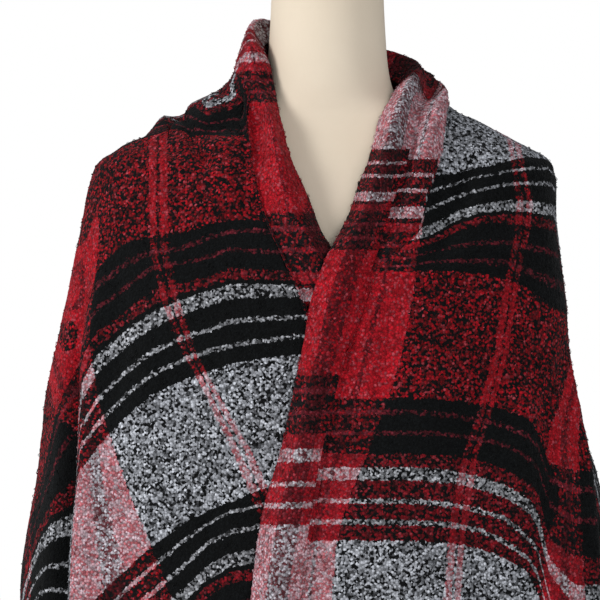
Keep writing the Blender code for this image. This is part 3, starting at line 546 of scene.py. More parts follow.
def front_places(shape, seam, lap, rows, columns):
    """Angles and heights of a front between the rolled edge, the arm seam, the hem and the collar."""
    s, up = np.linspace(0.0, 1.0, columns), np.linspace(0.0, 1.0, rows)
    heights = ROLL_FOOT_Z + (JUNCTION_Z - ROLL_FOOT_Z) * up
    inner_angle = front_angle(shape[OUTER_X](heights), heights)
    top_angle, top_z = foot_at(np.linspace(LAST_PLACE if lap else FIRST_PLACE, seam_place(seam), columns))
    foot = hem_at(seam)
    seam_z = foot + (top_z[-1] - foot) * up
    seam_angle = seam(seam_z)
    hem_angle = inner_angle[0] + (seam_angle[0] - inner_angle[0]) * s
    hem_z = heights[0] + (HEM_HEIGHT(hem_angle) - heights[0]) * s
    t = up[:, None]

    def blended(left, right, low, top):
        sides = (1 - s) * left[:, None] + s * right[:, None] + (1 - t) * low + t * top
        return sides - ((1 - s) * (1 - t) * low[0] + s * (1 - t) * low[-1] + (1 - s) * t * top[0] + s * t * top[-1])

    return blended(inner_angle, seam_angle, hem_angle, short_way(top_angle)), blended(heights, seam_z, hem_z, top_z)


def side_places(seam, back, rows, columns):
    """Angles and heights of the stretch round an arm, from its front seam to its back one."""
    angle, top_z = foot_at(np.linspace(seam_place(seam), section_place(back), columns))
    t = np.linspace(0.0, 1.0, rows)[:, None]
    foot = hem_at(seam)
    front = seam(foot + (top_z[0] - foot) * t)
    angles = front + (back - front) * ((angle - angle[0]) / (angle[-1] - angle[0]))
    foot_z = HEM_HEIGHT(angles[0])
    foot_z[0] = foot
    return angles, foot_z + (top_z - foot_z) * t


def back_places(rows, columns):
    """Angles and heights of the back between its two seams."""
    angle, top_z = foot_at(np.linspace(section_place(-BACK_SEAM), section_place(BACK_SEAM), columns))
    foot_z = HEM_HEIGHT(short_way(angle))
    t = np.linspace(0.0, 1.0, rows)[:, None]
    return np.repeat(angle[None, :], rows, axis=0), foot_z + (top_z - foot_z) * t


def resampled(grid, rows, columns):
    """A coarse grid of values carried smoothly onto a finer one."""
    for count in (rows, columns):
        high, wide, values = grid.shape
        finer = through(grid.reshape(high, -1), np.linspace(0.0, high - 1.0, count))
        grid = finer.reshape(count, wide, values).transpose(1, 0, 2)
    return grid


def hidden_check():
    """Places on the cloth round the arms and on the back: its true lengths relaxed between what is fixed."""
    sides = [side_places(seam, back, HIDDEN_ROWS, HIDDEN_SIDE)
             for seam, back in ((LEFT_SEAM, -BACK_SEAM), (RIGHT_SEAM, BACK_SEAM))]
    angles, heights = (np.concatenate([left, middle[:, 1:], right[:, -2::-1]], axis=1) for left, middle, right
                       in zip(sides[0], back_places(HIDDEN_ROWS, HIDDEN_BACK), sides[1]))
    points = cape(short_way(angles), heights)
    rows, columns = angles.shape
    left_back, right_back = section_place(-BACK_SEAM), section_place(BACK_SEAM)
    places = np.concatenate([
        np.linspace(seam_place(LEFT_SEAM), left_back, HIDDEN_SIDE),
        np.linspace(left_back, right_back, HIDDEN_BACK)[1:],
        np.linspace(seam_place(RIGHT_SEAM), right_back, HIDDEN_SIDE)[-2::-1]])
    left_edge, right_edge = arm_check(points[:, 0], True), arm_check(points[:, -1], False)
    down = np.linalg.norm(np.diff(points, axis=0), axis=2)
    below = np.concatenate([np.cumsum(down[::-1], axis=0)[::-1], np.zeros((1, columns))]) / PICTURE_MM
    aside = np.linspace(0.0, 1.0, columns)[None, :]
    start = np.empty((rows, columns, 2))
    start[..., 0] = BACK_FOOT_ACROSS + below
    start[..., 1] = left_edge[:, 1:] * (1.0 - aside) + right_edge[:, 1:] * aside
    start[-1, :, 1] = np.interp(places, np.arange(len(COLLAR_CROSS)), COLLAR_CROSS)
    start[:, 0], start[:, -1] = left_edge, right_edge
    fixed = np.zeros((rows, columns), dtype=bool)
    fixed[:, 0] = fixed[:, -1] = fixed[-1, :] = True
    # threads join each point to its neighbours across, up and both ways slanting
    number = numbered(rows, columns)
    every, first, later = slice(None), slice(None, -1), slice(1, None)
    pairs = (((every, first), (every, later)), ((first, every), (later, every)),
             ((first, first), (later, later)), ((first, later), (later, first)))
    links = np.concatenate([np.stack([number[a].ravel(), number[b].ravel()], axis=1) for a, b in pairs])
    flat = points.reshape(-1, 3)
    rest = np.linalg.norm(flat[links[:, 0]] - flat[links[:, 1]], axis=1) / PICTURE_MM
    pull = 1.0 / rest
    stiff = np.zeros((rows * columns, rows * columns))
    for a, b in (links.T, links.T[::-1]):
        np.add.at(stiff, (a, a), pull)
        np.add.at(stiff, (a, b), -pull)
    free, held = ~fixed.ravel(), fixed.ravel()
    solve, held_pull = np.linalg.inv(stiff[np.ix_(free, free)]), stiff[np.ix_(free, held)]
    made = start.reshape(-1, 2).copy()
    for _ in range(RELAX_ROUNDS):
        span = made[links[:, 0]] - made[links[:, 1]]
        length = np.linalg.norm(span, axis=1, keepdims=True)
        wanted = span / np.maximum(length, 1e-6) * (rest * pull)[:, None]
        force = np.zeros_like(made)
        np.add.at(force, links[:, 0], wanted)
        np.add.at(force, links[:, 1], -wanted)
        made[free] = solve @ (force[free] - held_pull @ made[held])
    made = made.reshape(rows, columns, 2)
    last_back = HIDDEN_SIDE + HIDDEN_BACK - 1
    aside = np.sin(np.pi * np.linspace(0.0, 1.0, HIDDEN_SIDE) ** STRIP_SKEW)
    made[:, :HIDDEN_SIDE, 1] -= STRIP_TILT * aside * ease((STRIP_TOP - heights[:, :HIDDEN_SIDE]) / STRIP_FADE)
    return made[:, :HIDDEN_SIDE], made[:, HIDDEN_SIDE - 1:last_back], made[:, last_back - 1:][:, ::-1]


# ---- surface relief
PEBBLE_SIZE = 3.5  # between the yarn's loops
PEBBLE_RISE = 0.9
BUCKLE_RISE = 1.2
BUCKLE_SIZE = (46.0, 46.0, 70.0)
RUMPLE_RISE = 0.5
RUMPLE_SIZE = (13.0, 13.0, 19.0)
FACE_FRONT = 20.0  # this far in front of the middle the front's creases have faded in fully
CREASE_FADE = (0.25, 0.3)  # share of a crease's length over which it fades in and out
# creases of the front, as it is seen: width, how far they stand out or sink, then their line
FRONT_CREASES = [
    (6, 4, [(222, 92), (202, 99), (182, 111)]), (5, -7, [(158, 86), (168, 100), (178, 114), (188, 128)]),
    (6, -7, [(180, 114), (188, 128), (198, 146), (212, 176)]),
    (7, 5, [(158, 102), (165, 118), (168, 136), (174, 160)]), (9, 2.5, [(144, 132), (130, 144), (118, 160)]),
    (11, -5, [(236, 112), (246, 128), (250, 150), (252, 180)]), (7, 3, [(208, 110), (226, 118), (244, 128)]),
    (14, 3, [(215, 160), (228, 190), (236, 220)]), (9, -3, [(425, 180), (432, 205), (438, 235), (446, 262)]),
    (14, 3.5, [(470, 160), (478, 195), (484, 240)]), (12, -3, [(505, 168), (518, 215), (524, 262)]),
    (12, 3, [(538, 190), (548, 240), (552, 300)]), (9, -3, [(395, 300), (388, 360), (372, 430)]),
    (16, 2.5, [(440, 320), (430, 400), (418, 490)]), (12, -2.5, [(480, 350), (470, 430), (462, 520)]),
    (11, 3, [(512, 330), (520, 400), (524, 480), (530, 570)]), (10, -3, [(545, 370), (548, 430), (556, 520)]),
    (12, -2.5, [(120, 250), (118, 330), (112, 400)]), (15, 3, [(150, 290), (146, 370), (150, 460), (160, 560)]),
    (11, -2.5, [(185, 330), (192, 420), (206, 500), (222, 590)]), (14, 2.5, [(225, 300), (236, 380), (246, 450)]),
]
# and of the sides and the back: width in degrees, rise, then angle and height down their line
HIDDEN_CREASES = [
    (5, 6.4, [(-92, 640), (-96, 480), (-92, 300)]),
    (4, -6.4, [(-103, 690), (-101, 520), (-104, 330), (-100, 180)]),
    (4, 4.8, [(-122, 760), (-119, 620), (-122, 470)]), (4.5, 6.4, [(96, 560), (99, 420), (94, 250)]),
    (4, -6.4, [(108, 740), (106, 600), (109, 430), (104, 260)]), (4.5, 4.8, [(124, 780), (121, 640), (124, 500)]),
    (5, -6.4, [(140, 800), (147, 720), (150, 600)]), (5, 6.4, [(163, 820), (166, 700), (163, 520), (166, 380)]),
    (4, -5.6, [(179, 800), (-178, 660), (-179, 450)]), (5, 6.4, [(-172, 700), (-174, 560), (-171, 360)]),
    (4.5, 5.6, [(-158, 820), (-157, 690), (-160, 520)]),
    (4, -5.6, [(-143, 790), (-140, 640), (-143, 480), (-140, 330)]),
]


def along_line(places, line, width):
    """How near each place is to a line, 1 on it and 0 away from it, fading towards both its ends."""
    line = np.array(line, dtype=float)
    lengths = np.linalg.norm(np.diff(line, axis=0), axis=1)
    before = np.concatenate([[0.0], np.cumsum(lengths)])
    nearest = np.full(places.shape[:-1], 1e9)
    reached = np.zeros(places.shape[:-1])
    for i, length in enumerate(lengths):
        step = line[i + 1] - line[i]
        share = np.clip(((places - line[i]) @ step) / (length ** 2), 0.0, 1.0)
        far = np.linalg.norm(places - (line[i] + share[..., None] * step), axis=-1)
        reached = np.where(far < nearest, (before[i] + share * length) / lengths.sum(), reached)
        nearest = np.minimum(far, nearest)
    fade_in, fade_out = CREASE_FADE
    return np.exp(-((nearest / width) ** 2)) * ease(reached / fade_in) * ease((1.0 - reached) / fade_out)


def crease_rise(points):
    """How far the listed creases lift or sink the cloth."""
    seen = np.stack(seen_at(points), axis=-1)
    in_front = ease((FACE_FRONT - points[..., 1]) / (2.0 * FACE_FRONT))
    rise = np.zeros(points.shape[:-1])
    for width, height, line in FRONT_CREASES:
        rise += height * along_line(seen, line, width) * in_front
    angle = np.degrees(np.arctan2(points[..., 0], -points[..., 1]))
    for width, height, line in HIDDEN_CREASES:
        middle = line[0][0]
        there = np.stack([short_way(angle - middle), points[..., 2] / 10.0], axis=-1)
        rise += height * along_line(there, [(short_way(a - middle), z / 10.0) for a, z in line], width)
    return rise


def relief(points):
    """How far the surface stands out from its smooth shape: creases, soft buckles and the yarn's loops."""
    buckle = soft_noise(points / np.array(BUCKLE_SIZE), 11)
    rumple = soft_noise(points / np.array(RUMPLE_SIZE), 23)
    loops = pebbles(points / PEBBLE_SIZE, 41)
    return crease_rise(points) + BUCKLE_RISE * buckle + RUMPLE_RISE * rumple + PEBBLE_RISE * (loops - 0.5)


# ---- meshes
CLOTH_UNIT = 100.0  # picture units in one unit of the cloth's UV map
STEP_AT = 9.0  # a face across which the cloth's lines jump by more than this shows one side's alone
LOOP_SIDES = 3
LOOP_RINGS = 5
LOOP_SPAN = (2.0, 3.8)  # least and most of a yarn loop's span, rise, tilt and thickness
LOOP_RISE = (0.7, 1.5)
LOOP_TILT = (-0.8, 0.8)
LOOP_THICK = (0.26, 0.42)
LOOP_SUNK = 0.35  # how deep the feet of a loop lie in the cloth


def stepped(at_corners):
    """Places on the cloth at the corners of four-sided faces, with each sudden jump made into a clean step."""
    quads = at_corners.reshape(-1, 4, 2)
    jump = np.abs(quads[:, 1] - quads[:, 0]).max(axis=1) > STEP_AT
    jump |= np.abs(quads[:, 2] - quads[:, 3]).max(axis=1) > STEP_AT
    quads[jump, 1], quads[jump, 2] = quads[jump, 0], quads[jump, 3]
    return quads.reshape(-1, 2)


def placed(name, data):
    """A new object in the scene."""
    piece = bpy.data.objects.new(name, data)
    bpy.context.scene.collection.objects.link(piece)
    return piece


def mesh_object(name, points, faces, cloth, material, step_faces=0):
    """A smooth object: points in mm, arrays of faces, one for each number of corners, places on the cloth."""
    corners = np.concatenate([group.ravel() for group in faces])
    totals = np.concatenate([np.full(len(group), group.shape[1]) for group in faces])
    data = bpy.data.meshes.new(name)
    data.vertices.add(len(points))
    data.vertices.foreach_set("co", (points * MM).ravel())
    data.loops.add(len(corners))
    data.loops.foreach_set("vertex_index", corners)
    data.polygons.add(len(totals))
    data.polygons.foreach_set("loop_start", np.concatenate([[0], np.cumsum(totals)[:-1]]))
    data.polygons.foreach_set("loop_total", totals)
    data.update(calc_edges=True)
    if cloth is not None:
        at_corners = cloth[corners]
        at_corners[:4 * step_faces] = stepped(at_corners[:4 * step_faces])
        data.uv_layers.new(name="cloth").data.foreach_set("uv", (at_corners / CLOTH_UNIT).ravel())
    data.validate()
    data.shade_smooth()
    data.materials.append(material)
    return placed(name, data)


def quads_of(grid):
    """Four-sided faces of a grid of point numbers."""
    return np.stack([grid[:-1, :-1], grid[:-1, 1:], grid[1:, 1:], grid[1:, :-1]], axis=-1).reshape(-1, 4)


def cloth_shell(name, points, normals, cloth, material):
    """Closed shell of cloth: its relief outside, a sparser inside, and a rim of many-sided faces between."""
    rows, columns = points.shape[:2]
    sparse = np.ix_(np.arange(0, rows, INNER_EVERY), np.arange(0, columns, INNER_EVERY))
    outside = points + normals * relief(points)[..., None]
    inside = (points + normals * (crease_rise(points) - THICKNESS_MM)[..., None])[sparse]
    out, into = numbered(rows, columns), rows * columns + numbered(*inside.shape[:2])
    out_rim, in_rim = (np.concatenate([grid[0, :-1], grid[:-1, -1], grid[-1, :0:-1], grid[:0:-1, 0], grid[0, :1]])
                       for grid in (out, into))
    rim = np.array([np.concatenate([out_rim[i * INNER_EVERY:(i + 1) * INNER_EVERY + 1][::-1], in_rim[i:i + 2]])
                    for i in range(len(in_rim) - 1)])
    faces = [quads_of(out), quads_of(into)[:, ::-1], rim]
    every_point = np.concatenate([outside.reshape(-1, 3), inside.reshape(-1, 3)])
    every_cloth = np.concatenate([cloth.reshape(-1, 2), cloth[sparse].reshape(-1, 2)])
    return mesh_object(name, every_point, faces, every_cloth, material, len(faces[0])), outside


def grid_areas(points):
    """Area of each cell of a grid of points."""
    corner = points[:-1, :-1]
    return np.linalg.norm(np.cross(points[1:, :-1] - corner, points[:-1, 1:] - corner), axis=2)


def yarn_loops(name, outside, normals, cloth, count, seed, material):
    """Small loops of yarn that stand out of the cloth, spread evenly over its area."""
    rng = np.random.default_rng(seed)
    area = grid_areas(outside).ravel()
    chosen = rng.choice(area.size, size=count, p=area / area.sum())
    i, j = np.divmod(chosen, outside.shape[1] - 1)
    root, normal = outside[i, j], normals[i, j]
    aim = rng.uniform(0.0, 2.0 * math.pi, count)[:, None]
    first = outside[i, j + 1] - root
    first = first / np.linalg.norm(first, axis=1, keepdims=True)
    along = first * np.cos(aim) + np.cross(normal, first) * np.sin(aim)
    lean = np.cross(normal, along)
    span, rise, tilt, thick = (rng.uniform(*limits, count)[:, None]
                               for limits in (LOOP_SPAN, LOOP_RISE, LOOP_TILT, LOOP_THICK))
    points = []
    for turn in np.linspace(0.0, math.pi, LOOP_RINGS):
        spot = (root + along * (-0.5 * span * math.cos(turn)) + normal * (rise * math.sin(turn) - LOOP_SUNK)
                + lean * (tilt * math.sin(turn)))
        out = normal * math.sin(turn) - along * math.cos(turn)
        for k in range(LOOP_SIDES):
            angle = 2.0 * math.pi * k / LOOP_SIDES
            points.append(spot + (out * math.cos(angle) + lean * math.sin(angle)) * thick)
    one = LOOP_SIDES * LOOP_RINGS
    number = numbered(LOOP_RINGS, LOOP_SIDES)
    tube = quads_of(np.concatenate([number, number[:, :1]], axis=1))
    caps = np.array([[2, 1, 0], [one - 3, one - 2, one - 1]])
    offset = (np.arange(count) * one)[:, None, None]
    faces = [(group + offset).reshape(-1, group.shape[1]) for group in (tube, caps)]
    return mesh_object(name, np.stack(points, axis=1).reshape(-1, 3), faces, np.repeat(cloth[i, j], one, axis=0),
                       material)


# ---- materials
RED = (0.40, 0.005, 0.013)
BLACK = (0.0030, 0.0036, 0.0040)
WHITE = (0.56, 0.58, 0.63)
LINE_RED = (0.29, 0.005, 0.011)
PALE = (0.47, 0.48, 0.51)
DIM = (0.12, 0.010, 0.018)  # a thin line of red, half hidden
WINE = (0.25, 0.007, 0.014)
DARK_WINE = (0.10, 0.005, 0.009)
ROSE_WHITE = (0.66, 0.42, 0.47, 1.0)
# painted highlight: the pale rose of red yarn where light glints on its fuzz
GLINT_ROSE = (0.42, 0.11, 0.14, 1.0)
HALF_REPEAT = 265.0  # the cross lines mirror and repeat at twice this, picture units
LONG_SPAN = 800.0  # the lengthwise lines are laid out over this much of the width
# each band starts here and runs to the next
CROSS_BANDS = [
    (0, RED), (65, BLACK), (73, DIM), (77, BLACK), (92, DIM), (96, BLACK), (113.5, WINE), (124, BLACK),
    (129, PALE), (141, BLACK), (158.2, PALE), (162.3, BLACK), (177.2, PALE), (181.3, BLACK), (197, WHITE),
]
# once in this length the stretches between the white lines are red instead of black, over a quarter of it
RED_EVERY = 1060.0
RED_BETWEEN = [
    (0, RED), (65, BLACK), (73, DIM), (77, BLACK), (92, DIM), (96, BLACK), (113, WINE), (128.5, PALE),
    (141, WINE), (158, PALE), (162.5, WINE), (177, PALE), (181.5, WINE), (197, WHITE),
]
LONG_BANDS = [
    (0, RED), (25, DARK_WINE), (50, RED), (70, DARK_WINE), (74, RED), (92, BLACK), (182, LINE_RED),
    (188.2, BLACK), (191.8, LINE_RED), (198, BLACK), (287, RED), (301, DARK_WINE), (310, RED), (327, BLACK),
    (417, LINE_RED), (423.2, BLACK), (426.8, LINE_RED), (433, BLACK), (523, RED), (563, BLACK), (653, LINE_RED),
    (659.2, BLACK), (662.8, LINE_RED), (669, BLACK), (759, RED),
]
LOOP_MM = 2.2  # size of the coloured loops of the yarn
FRAY = 7.0  # how far the edges of the lines wander, picture units
HIDE_LONG = 0.34  # the black yarn hides more than its share of a red one
HIDE_CROSS = 0.14


class Nodes:
    """Short way to add and join the nodes of one material or world."""

    def __init__(self, holder):
        self.holder = holder
        holder.use_nodes = True
        self.tree = holder.node_tree

    def put(self, node, inputs):
        """Set sockets, or join them to other nodes' outputs; inputs are (socket, value or output)."""
        for socket, value in inputs:
            if isinstance(value, bpy.types.NodeSocket):
                self.tree.links.new(value, node.inputs[socket])
            else:
                node.inputs[socket].default_value = value

    def add(self, kind, inputs=(), **settings):
        """A node with its settings and inputs."""
        node = self.tree.nodes.new("ShaderNode" + kind)
        for key, value in settings.items():
            setattr(node, key, value)
        self.put(node, inputs)
        return node

    def math(self, operation, a, b=0.0):
        """Output of a math node."""
        return self.add("Math", [(0, a), (1, b)], operation=operation).outputs[0]

    def times(self, first, *others):
        """Product of outputs and numbers."""
        for other in others:
            first = self.math("MULTIPLY", first, other)
        return first

    def vector(self, operation, *inputs):
        """Output of a vector math node."""
        return self.add("VectorMath", inputs, operation=operation).outputs[0]

    def noise(self, place, scale, detail, output="Fac"):
        """Output of a noise texture."""
        return self.add("TexNoise", [("Vector", place), ("Scale", scale), ("Detail", detail)]).outputs[output]

    def remap(self, value, *limits):
        """A value carried from one range onto another: low and high of both, or of the first for 0 to 1."""
        return self.add("MapRange", [(0, value), *enumerate(limits, 1)]).outputs[0]

    def mix(self, factor, a, b):
        """Output of a mix of two colours."""
        return self.add("Mix", [(0, factor), (6, a), (7, b)], data_type="RGBA").outputs[2]

    def parts(self, color):
        """Red, green and blue of a colour."""
        return self.add("SeparateColor", [(0, color)]).outputs

    def ramp(self, factor, bands, span):
        """Output of a stepped colour ramp made of bands."""
        node = self.add("ValToRGB", [(0, factor)])
        ramp = node.color_ramp
        ramp.interpolation = "CONSTANT"
        ramp.elements[0].position = 0.0
        ramp.elements[0].color = (*bands[0][1], 1.0)
        ramp.elements.remove(ramp.elements[1])
        for start, color in bands[1:]:
            ramp.elements.new(start / span).color = (*color, 1.0)
        return node.outputs["Color"]

    def done(self, color, strength, distance, height, **values):
        """The material with its colour, its relief and its other values."""
        bump = self.add("Bump", [("Strength", strength), ("Distance", distance), ("Height", height)])
        named = [(key.replace("_", " "), value) for key, value in values.items()]
        self.put(self.tree.nodes["Principled BSDF"], [("Base Color", color), ("Normal", bump.outputs[0]), *named])
        return self.holder


def material_nodes(name):
    """The nodes of a new material."""
    return Nodes(bpy.data.materials.new(name))


def tartan(name):
    """Boucle cloth: lengthwise and cross lines that mix loop by loop, with painted shade between the loops."""
    n = material_nodes(name)
    solid = n.vector("SCALE", (0, n.add("TexCoord").outputs["Object"]), (3, 1.0 / MM))
    shift = n.vector("SUBTRACT", (0, n.noise(solid, 0.30, 2.0, "Color")), (1, (0.5, 0.5, 0.5)))
    place = n.vector("SCALE", (0, n.add("UVMap", uv_map="cloth").outputs["UV"]), (3, CLOTH_UNIT))
    bent = n.vector("MULTIPLY_ADD", (0, shift), (1, (FRAY, FRAY, 0.0)), (2, place))
    across_it, along = n.add("SeparateXYZ", [(0, bent)]).outputs[:2]
    long_color = n.ramp(n.math("DIVIDE", across_it, LONG_SPAN), LONG_BANDS, LONG_SPAN)
    cross_at = n.math("DIVIDE", n.math("PINGPONG", along, HALF_REPEAT), HALF_REPEAT)
    past = n.math("LESS_THAN", n.math("FRACT", n.math("DIVIDE", along, RED_EVERY)), 0.25)
    cross_color = n.mix(past, *(n.ramp(cross_at, bands, HALF_REPEAT) for bands in (CROSS_BANDS, RED_BETWEEN)))
    yarn = n.add("TexVoronoi", [("Vector", solid), ("Scale", 1.0 / LOOP_MM), ("Randomness", 1.0)]).outputs
    chance = n.parts(yarn["Color"])
    cross_red, cross_green = n.parts(cross_color)[:2]
    red_long = n.math("DIVIDE", n.parts(long_color)[0], RED[0])
    pale_cross = n.math("DIVIDE", cross_green, WHITE[1])
    red_cross = n.math("DIVIDE", n.math("SUBTRACT", cross_red, cross_green), RED[0])
    dark_cross = n.math("SUBTRACT", n.math("SUBTRACT", 1.0, red_cross), pale_cross)
    hide = n.math("SUBTRACT", n.times(dark_cross, red_long, HIDE_LONG),
                  n.times(red_cross, n.math("SUBTRACT", 1.0, red_long), HIDE_CROSS))
    pick = n.remap(n.math("ADD", chance[0], hide), 0.24, 0.86)
    both = n.math("MULTIPLY", red_long, pale_cross)
    rosy_cross = n.mix(n.times(both, 0.7), cross_color, ROSE_WHITE)
    rosy_long = n.mix(n.times(both, 0.30), long_color, ROSE_WHITE)
    woven = n.mix(pick, rosy_long, rosy_cross)
    parts = n.parts(woven)
    seen_red = n.math("MINIMUM", n.math("DIVIDE", n.math("SUBTRACT", parts[0], parts[1]), RED[0]), 1.0)
    # painted highlight: a few loops of red yarn turn pale rose, as if light glinted on their fuzz
    glint_speck = n.remap(chance[2], 0.72, 0.95, 0.0, 0.48)
    mixed = n.mix(n.times(glint_speck, seen_red), woven, GLINT_ROSE)
    # painted shade: each loop darkens towards its edge, standing in for the shade in the hollows between the loops
    shade_between_loops = n.remap(yarn["Distance"], 0.15, 0.80, 1.0, 0.45)
    lot = n.remap(chance[1], 0.0, 1.0, 0.55, 1.35)
    wash = n.remap(n.noise(solid, 0.035, 3.0), 0.3, 0.7, 0.80, 1.18)
    color = n.vector("SCALE", (0, mixed), (3, n.times(shade_between_loops, lot, wash)))
    height = n.math("ADD", n.times(yarn["Distance"], -1.0), n.times(n.noise(solid, 1.6, 2.0), 0.5))
    return n.done(color, 0.8, 0.0010, height, Roughness=0.95, Specular_IOR_Level=0.12, Sheen_Weight=0.025,
                  Sheen_Roughness=0.5)


def form_cover():
    """Cream jersey drawn smooth over the form, with a fine knit and a little soiling."""
    n = material_nodes("form_cover")
    place = n.add("TexCoord").outputs["Object"]
    knit = n.add("TexWave", [("Vector", place), ("Scale", 420.0), ("Distortion", 1.5)],
                 bands_direction="Z").outputs["Fac"]
    color = n.mix(n.noise(place, 14.0, 4.0), (0.66, 0.56, 0.43, 1.0), (0.75, 0.65, 0.52, 1.0))
    height = n.math("ADD", n.times(knit, 0.3), n.noise(place, 260.0, 3.0))
    return n.done(color, 0.35, 0.0004, height, Roughness=0.75, Specular_IOR_Level=0.3)


def stand_material(name, low, high, roughness, metallic, stretch, scale):
    """Steel with a brushed grain, or paint over wood with a faint one."""
    n = material_nodes(name)
    place = n.add("TexCoord").outputs["Object"]
    grain = n.noise(n.add("Mapping", [("Vector", place), ("Scale", stretch)]).outputs[0], scale, 4.0)
    uneven = n.remap(grain, 0.0, 1.0, roughness - 0.08, roughness + 0.08)
    return n.done(n.mix(grain, (*low, 1.0), (*high, 1.0)), 0.15, 0.0003, grain, Roughness=uneven, Metallic=metallic)


# ---- the scarf
LOOP_COUNTS = {
    "right_front": 2500, "left_front": 2500, "right_front_roll": 1100, "left_front_roll": 900, "collar": 900,
    "left_arm_side": 900, "right_arm_side": 800, "back": 1400,
}


def dressed(node, points, normals, cloth, material, seed):
    """One stretch of the scarf with its standing loops, both hung from the root, in place of the model's part of
    that name.
    """
    piece, outside = cloth_shell("scarf_" + node, points, normals, cloth, material)
    loops = yarn_loops("scarf_" + node + "_loops", outside, normals, cloth, LOOP_COUNTS[node], seed, material)
    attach(loops, "root")
    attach(piece, "root")
    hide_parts(node)


def scarf():
    """All the stretches of the scarf."""
    material = tartan("tartan_boucle")
    for node, shape, seam, lap, seed in (
            ("right_front", RIGHT_SHAPE, RIGHT_SEAM, True, 1), ("left_front", LEFT_SHAPE, LEFT_SEAM, False, 2)):
        rows, columns = steps_for(FRONT_SIZE, FINE_STEP)
        angles, z = front_places(shape, seam, lap, rows, columns)
        points = cape(angles, z, lap)
        cloth = front_check(points, not lap)
        share = ease((np.linspace(0.0, 1.0, columns) - ARM_BLEND[0]) / (ARM_BLEND[1] - ARM_BLEND[0]))
        cloth = cloth + (arm_check(points, not lap) - cloth) * share[None, :, None]
        normals = across(lambda angle, height, lap=lap: cape(angle, height, lap), angles, z)
        dressed(node, points, normals, cloth, material, seed)
    left_map, back_map, right_map = hidden_check()
    for node, seam, back, grid, seed in (
            ("left_arm_side", LEFT_SEAM, -BACK_SEAM, left_map, 3),
            ("right_arm_side", RIGHT_SEAM, BACK_SEAM, right_map, 4)):
        rows, columns = steps_for(ARM_SIZE, SIDE_STEP)
        angles, z = side_places(seam, back, rows, columns)
        if back > 0.0:
            angles, z, grid = angles[:, ::-1], z[:, ::-1], grid[:, ::-1]
        dressed(node, cape(angles, z), across(cape, angles, z), resampled(grid, rows, columns), material, seed)
    rows, columns = steps_for(BACK_SIZE, SIDE_STEP)
    angles, z = back_places(rows, columns)
    dressed("back", cape(short_way(angles), z), across(lambda a, h: cape(short_way(a), h), angles, z),
            resampled(back_map, rows, columns), material, 5)
    rolled_stretches(material)


def rolled_stretches(material):
    """The two rolled front edges and the collar, as one sweep with shared rows."""
    count, across_count = steps_for(ROLL_SIZE, ROLL_STEP)
    heights = np.linspace(ROLL_FOOT_Z, JUNCTION_Z, count)
    places = np.linspace(FIRST_PLACE, LAST_PLACE, steps_for([COLLAR_LENGTH], ROLL_STEP)[0])
    middle = through(SECTIONS.reshape(len(SECTIONS), -1), places).reshape(len(places), 5, 3)
    middle[:, 4] = cape(*foot_at(places))
    points = np.concatenate([np.array([roll_section(LEFT_SHAPE, z, False) for z in heights]), middle[1:-1],
                             np.array([roll_section(RIGHT_SHAPE, z, True) for z in heights[::-1]])])
    spread = np.linspace(0.0, 4.0, across_count)
    points = np.array([through(section, spread) for section in points])
    normals = np.cross(np.gradient(points, axis=0), np.gradient(points, axis=1))
    normals = normals / np.linalg.norm(normals, axis=2, keepdims=True)
    spread = np.broadcast_to(spread, points.shape[:2])
    row_place = np.concatenate([np.full(count, FIRST_PLACE), places[1:-1], np.full(count, LAST_PLACE)])
    behind = np.empty(points.shape[:2] + (2,))
    turn = ((row_place - FIRST_PLACE) / (LAST_PLACE - FIRST_PLACE))[:, None]
    on_roll = np.minimum(spread, 2.0) / 2.0
    past_roll = ease((spread - 2.0) / 2.0)
    at_left = EDGE_ACROSS + (CREST_ACROSS - EDGE_ACROSS) * on_roll
    edge_across = at_left * (1.0 - turn) + EDGE_ACROSS * on_roll * turn
    behind[..., 0] = edge_across + (BACK_FOOT_ACROSS - edge_across) * past_roll
    at_edge, at_foot = (np.interp(row_place, np.arange(len(table)), table)[:, None]
                        for table in (COLLAR_EDGE_CROSS, COLLAR_CROSS))
    behind[..., 1] = at_edge + (at_foot - at_edge) * past_roll
    # the rolls' own lines give way to the collar's near the left shoulder, and at a step on the right
    left_share = (1.0 - ease((row_place - LEFT_TURN[0]) / LEFT_TURN[1]))[:, None, None]
    right_share = (1.0 - ease((RIGHT_TURN[0] - row_place) / RIGHT_TURN[1]))[:, None, None]
    cloth = (behind * (1.0 - left_share - right_share) + roll_check(points, spread, True) * left_share
             + roll_check(points, spread, False) * right_share)
    start = len(points) - count
    for node, low, high, rests_on, seed in (
            ("left_front_roll", 0, count - 1, ["form_torso", "scarf_left_front"], 6),
            ("collar", count - 1, start, ["scarf_back", "form_torso"], 7),
            ("right_front_roll", start, len(points) - 1, ["scarf_right_front"], 8)):
        stretch = slice(low, high + 1)
        dressed(node, points[stretch], normals[stretch], cloth[stretch], material, seed)


# ---- the dress form
TORSO_ROWS = 170
TORSO_COLUMNS = 120
NECK_ASIDE = -1.4  # the neck leans this far to the viewer's left, from this height on
NECK_FROM = 840.0
NECK_FADE = 60.0
TORSO_CREASE = 55.0  # edges sharper than this stay sharp


def torso():
    """The limbless form in one smooth skin, closed below and at the neck."""
    half, front, back, square = (smooth(sorted(FORM), i) for i in (1, 2, 3, 4))
    z = np.linspace(FORM[0][0], FORM[-1][0], TORSO_ROWS)[:, None]
    angle = np.arange(TORSO_COLUMNS)[None, :] * 360.0 / TORSO_COLUMNS
    points = outline(angle, z, half, half, front, back, square)
    points[..., 0] += NECK_ASIDE * ease((z - NECK_FROM) / NECK_FADE)
    number = numbered(TORSO_ROWS, TORSO_COLUMNS)
    faces = [quads_of(np.concatenate([number, number[:, :1]], axis=1)), np.stack([number[0][::-1], number[-1]])]
    piece = mesh_object("form_skin", points.reshape(-1, 3), faces, None, form_cover())
    piece.data.set_sharp_from_angle(angle=math.radians(TORSO_CREASE))
    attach(piece, "root")
    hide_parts("form_torso")


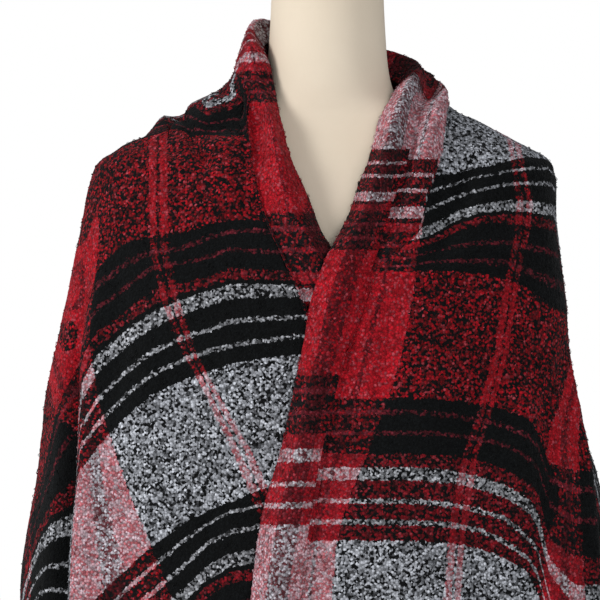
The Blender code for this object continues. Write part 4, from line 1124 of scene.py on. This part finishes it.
# ---- stage, light and camera
ROOM_LIGHT = 0.42  # strength of the soft light from all round; the backdrop itself stays white
FLOOR_RADIUS = 2.4
SENSOR = 36.0
FRAME_MM = 582.0  # width of the frame at the middle of the form
LAMPS = (  # name, place, aim, size, power
    ("key", (-2.75, -1.6, 2.0), (0.0, 0.0, 0.65), 0.9, 81.0),
    ("fill", (1.2, -2.7, 1.3), (0.0, 0.0, 0.6), 1.6, 27.0),
)


def stage_and_light():
    """Pale round floor, soft light from the viewer's upper left, weaker from the right."""
    mesh = bmesh.new()
    bmesh.ops.create_circle(mesh, cap_ends=True, segments=96, radius=FLOOR_RADIUS)
    data = bpy.data.meshes.new("floor")
    mesh.to_mesh(data)
    mesh.free()
    n = material_nodes("floor")
    n.put(n.tree.nodes["Principled BSDF"], [("Base Color", (0.85, 0.85, 0.85, 1.0)), ("Roughness", 0.9)])
    data.materials.append(n.holder)
    floor = placed("floor", data)
    n = Nodes(bpy.data.worlds.new("studio"))
    room, sweep = n.tree.nodes["Background"], n.add("Background", [("Color", (1.0, 1.0, 1.0, 1.0))])
    n.put(room, [("Color", (0.93, 0.96, 1.0, 1.0)), ("Strength", ROOM_LIGHT)])
    ray = n.add("LightPath").outputs["Is Camera Ray"]
    both = n.add("MixShader", [(0, ray), (1, room.outputs[0]), (2, sweep.outputs[0])])
    n.put(n.tree.nodes["World Output"], [(0, both.outputs[0])])
    bpy.context.scene.world = n.holder
    for name, place, aim, size, power in LAMPS:
        lamp = bpy.data.lights.new(name, "AREA")
        lamp.size = size
        lamp.energy = power
        light = placed(name, lamp)
        light.location = place
        light.rotation_mode = "QUATERNION"
        light.rotation_quaternion = (Vector(aim) - Vector(place)).to_track_quat("-Z", "Y")


def camera():
    """Camera straight in front at the height of the picture's middle."""
    data = bpy.data.cameras.new("camera")
    data.sensor_width = SENSOR
    data.lens = SENSOR * CAMERA_DISTANCE / FRAME_MM
    eye = placed("camera", data)
    eye.location = (CAMERA_ASIDE * MM, -CAMERA_DISTANCE * MM, CAMERA_HEIGHT * MM)
    eye.rotation_euler = (math.radians(90.0), 0.0, 0.0)
    bpy.context.scene.camera = eye


def restyled(node, material):
    """A better material on a node that keeps its shape."""
    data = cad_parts[node].data
    data.materials.clear()
    data.materials.append(material)


camera()
stage_and_light()
scarf()
torso()
restyled("form_pole", stand_material("pole_steel", (0.45, 0.45, 0.46), (0.66, 0.66, 0.67), 0.3, 1.0,
                                     (1.0, 1.0, 0.03), 900.0))
restyled("form_base", stand_material("base_wood", (0.022, 0.022, 0.024), (0.04, 0.04, 0.042), 0.4, 0.0,
                                     (0.1, 1.0, 1.0), 60.0))
bpy.context.scene.view_settings.view_transform = "Standard"
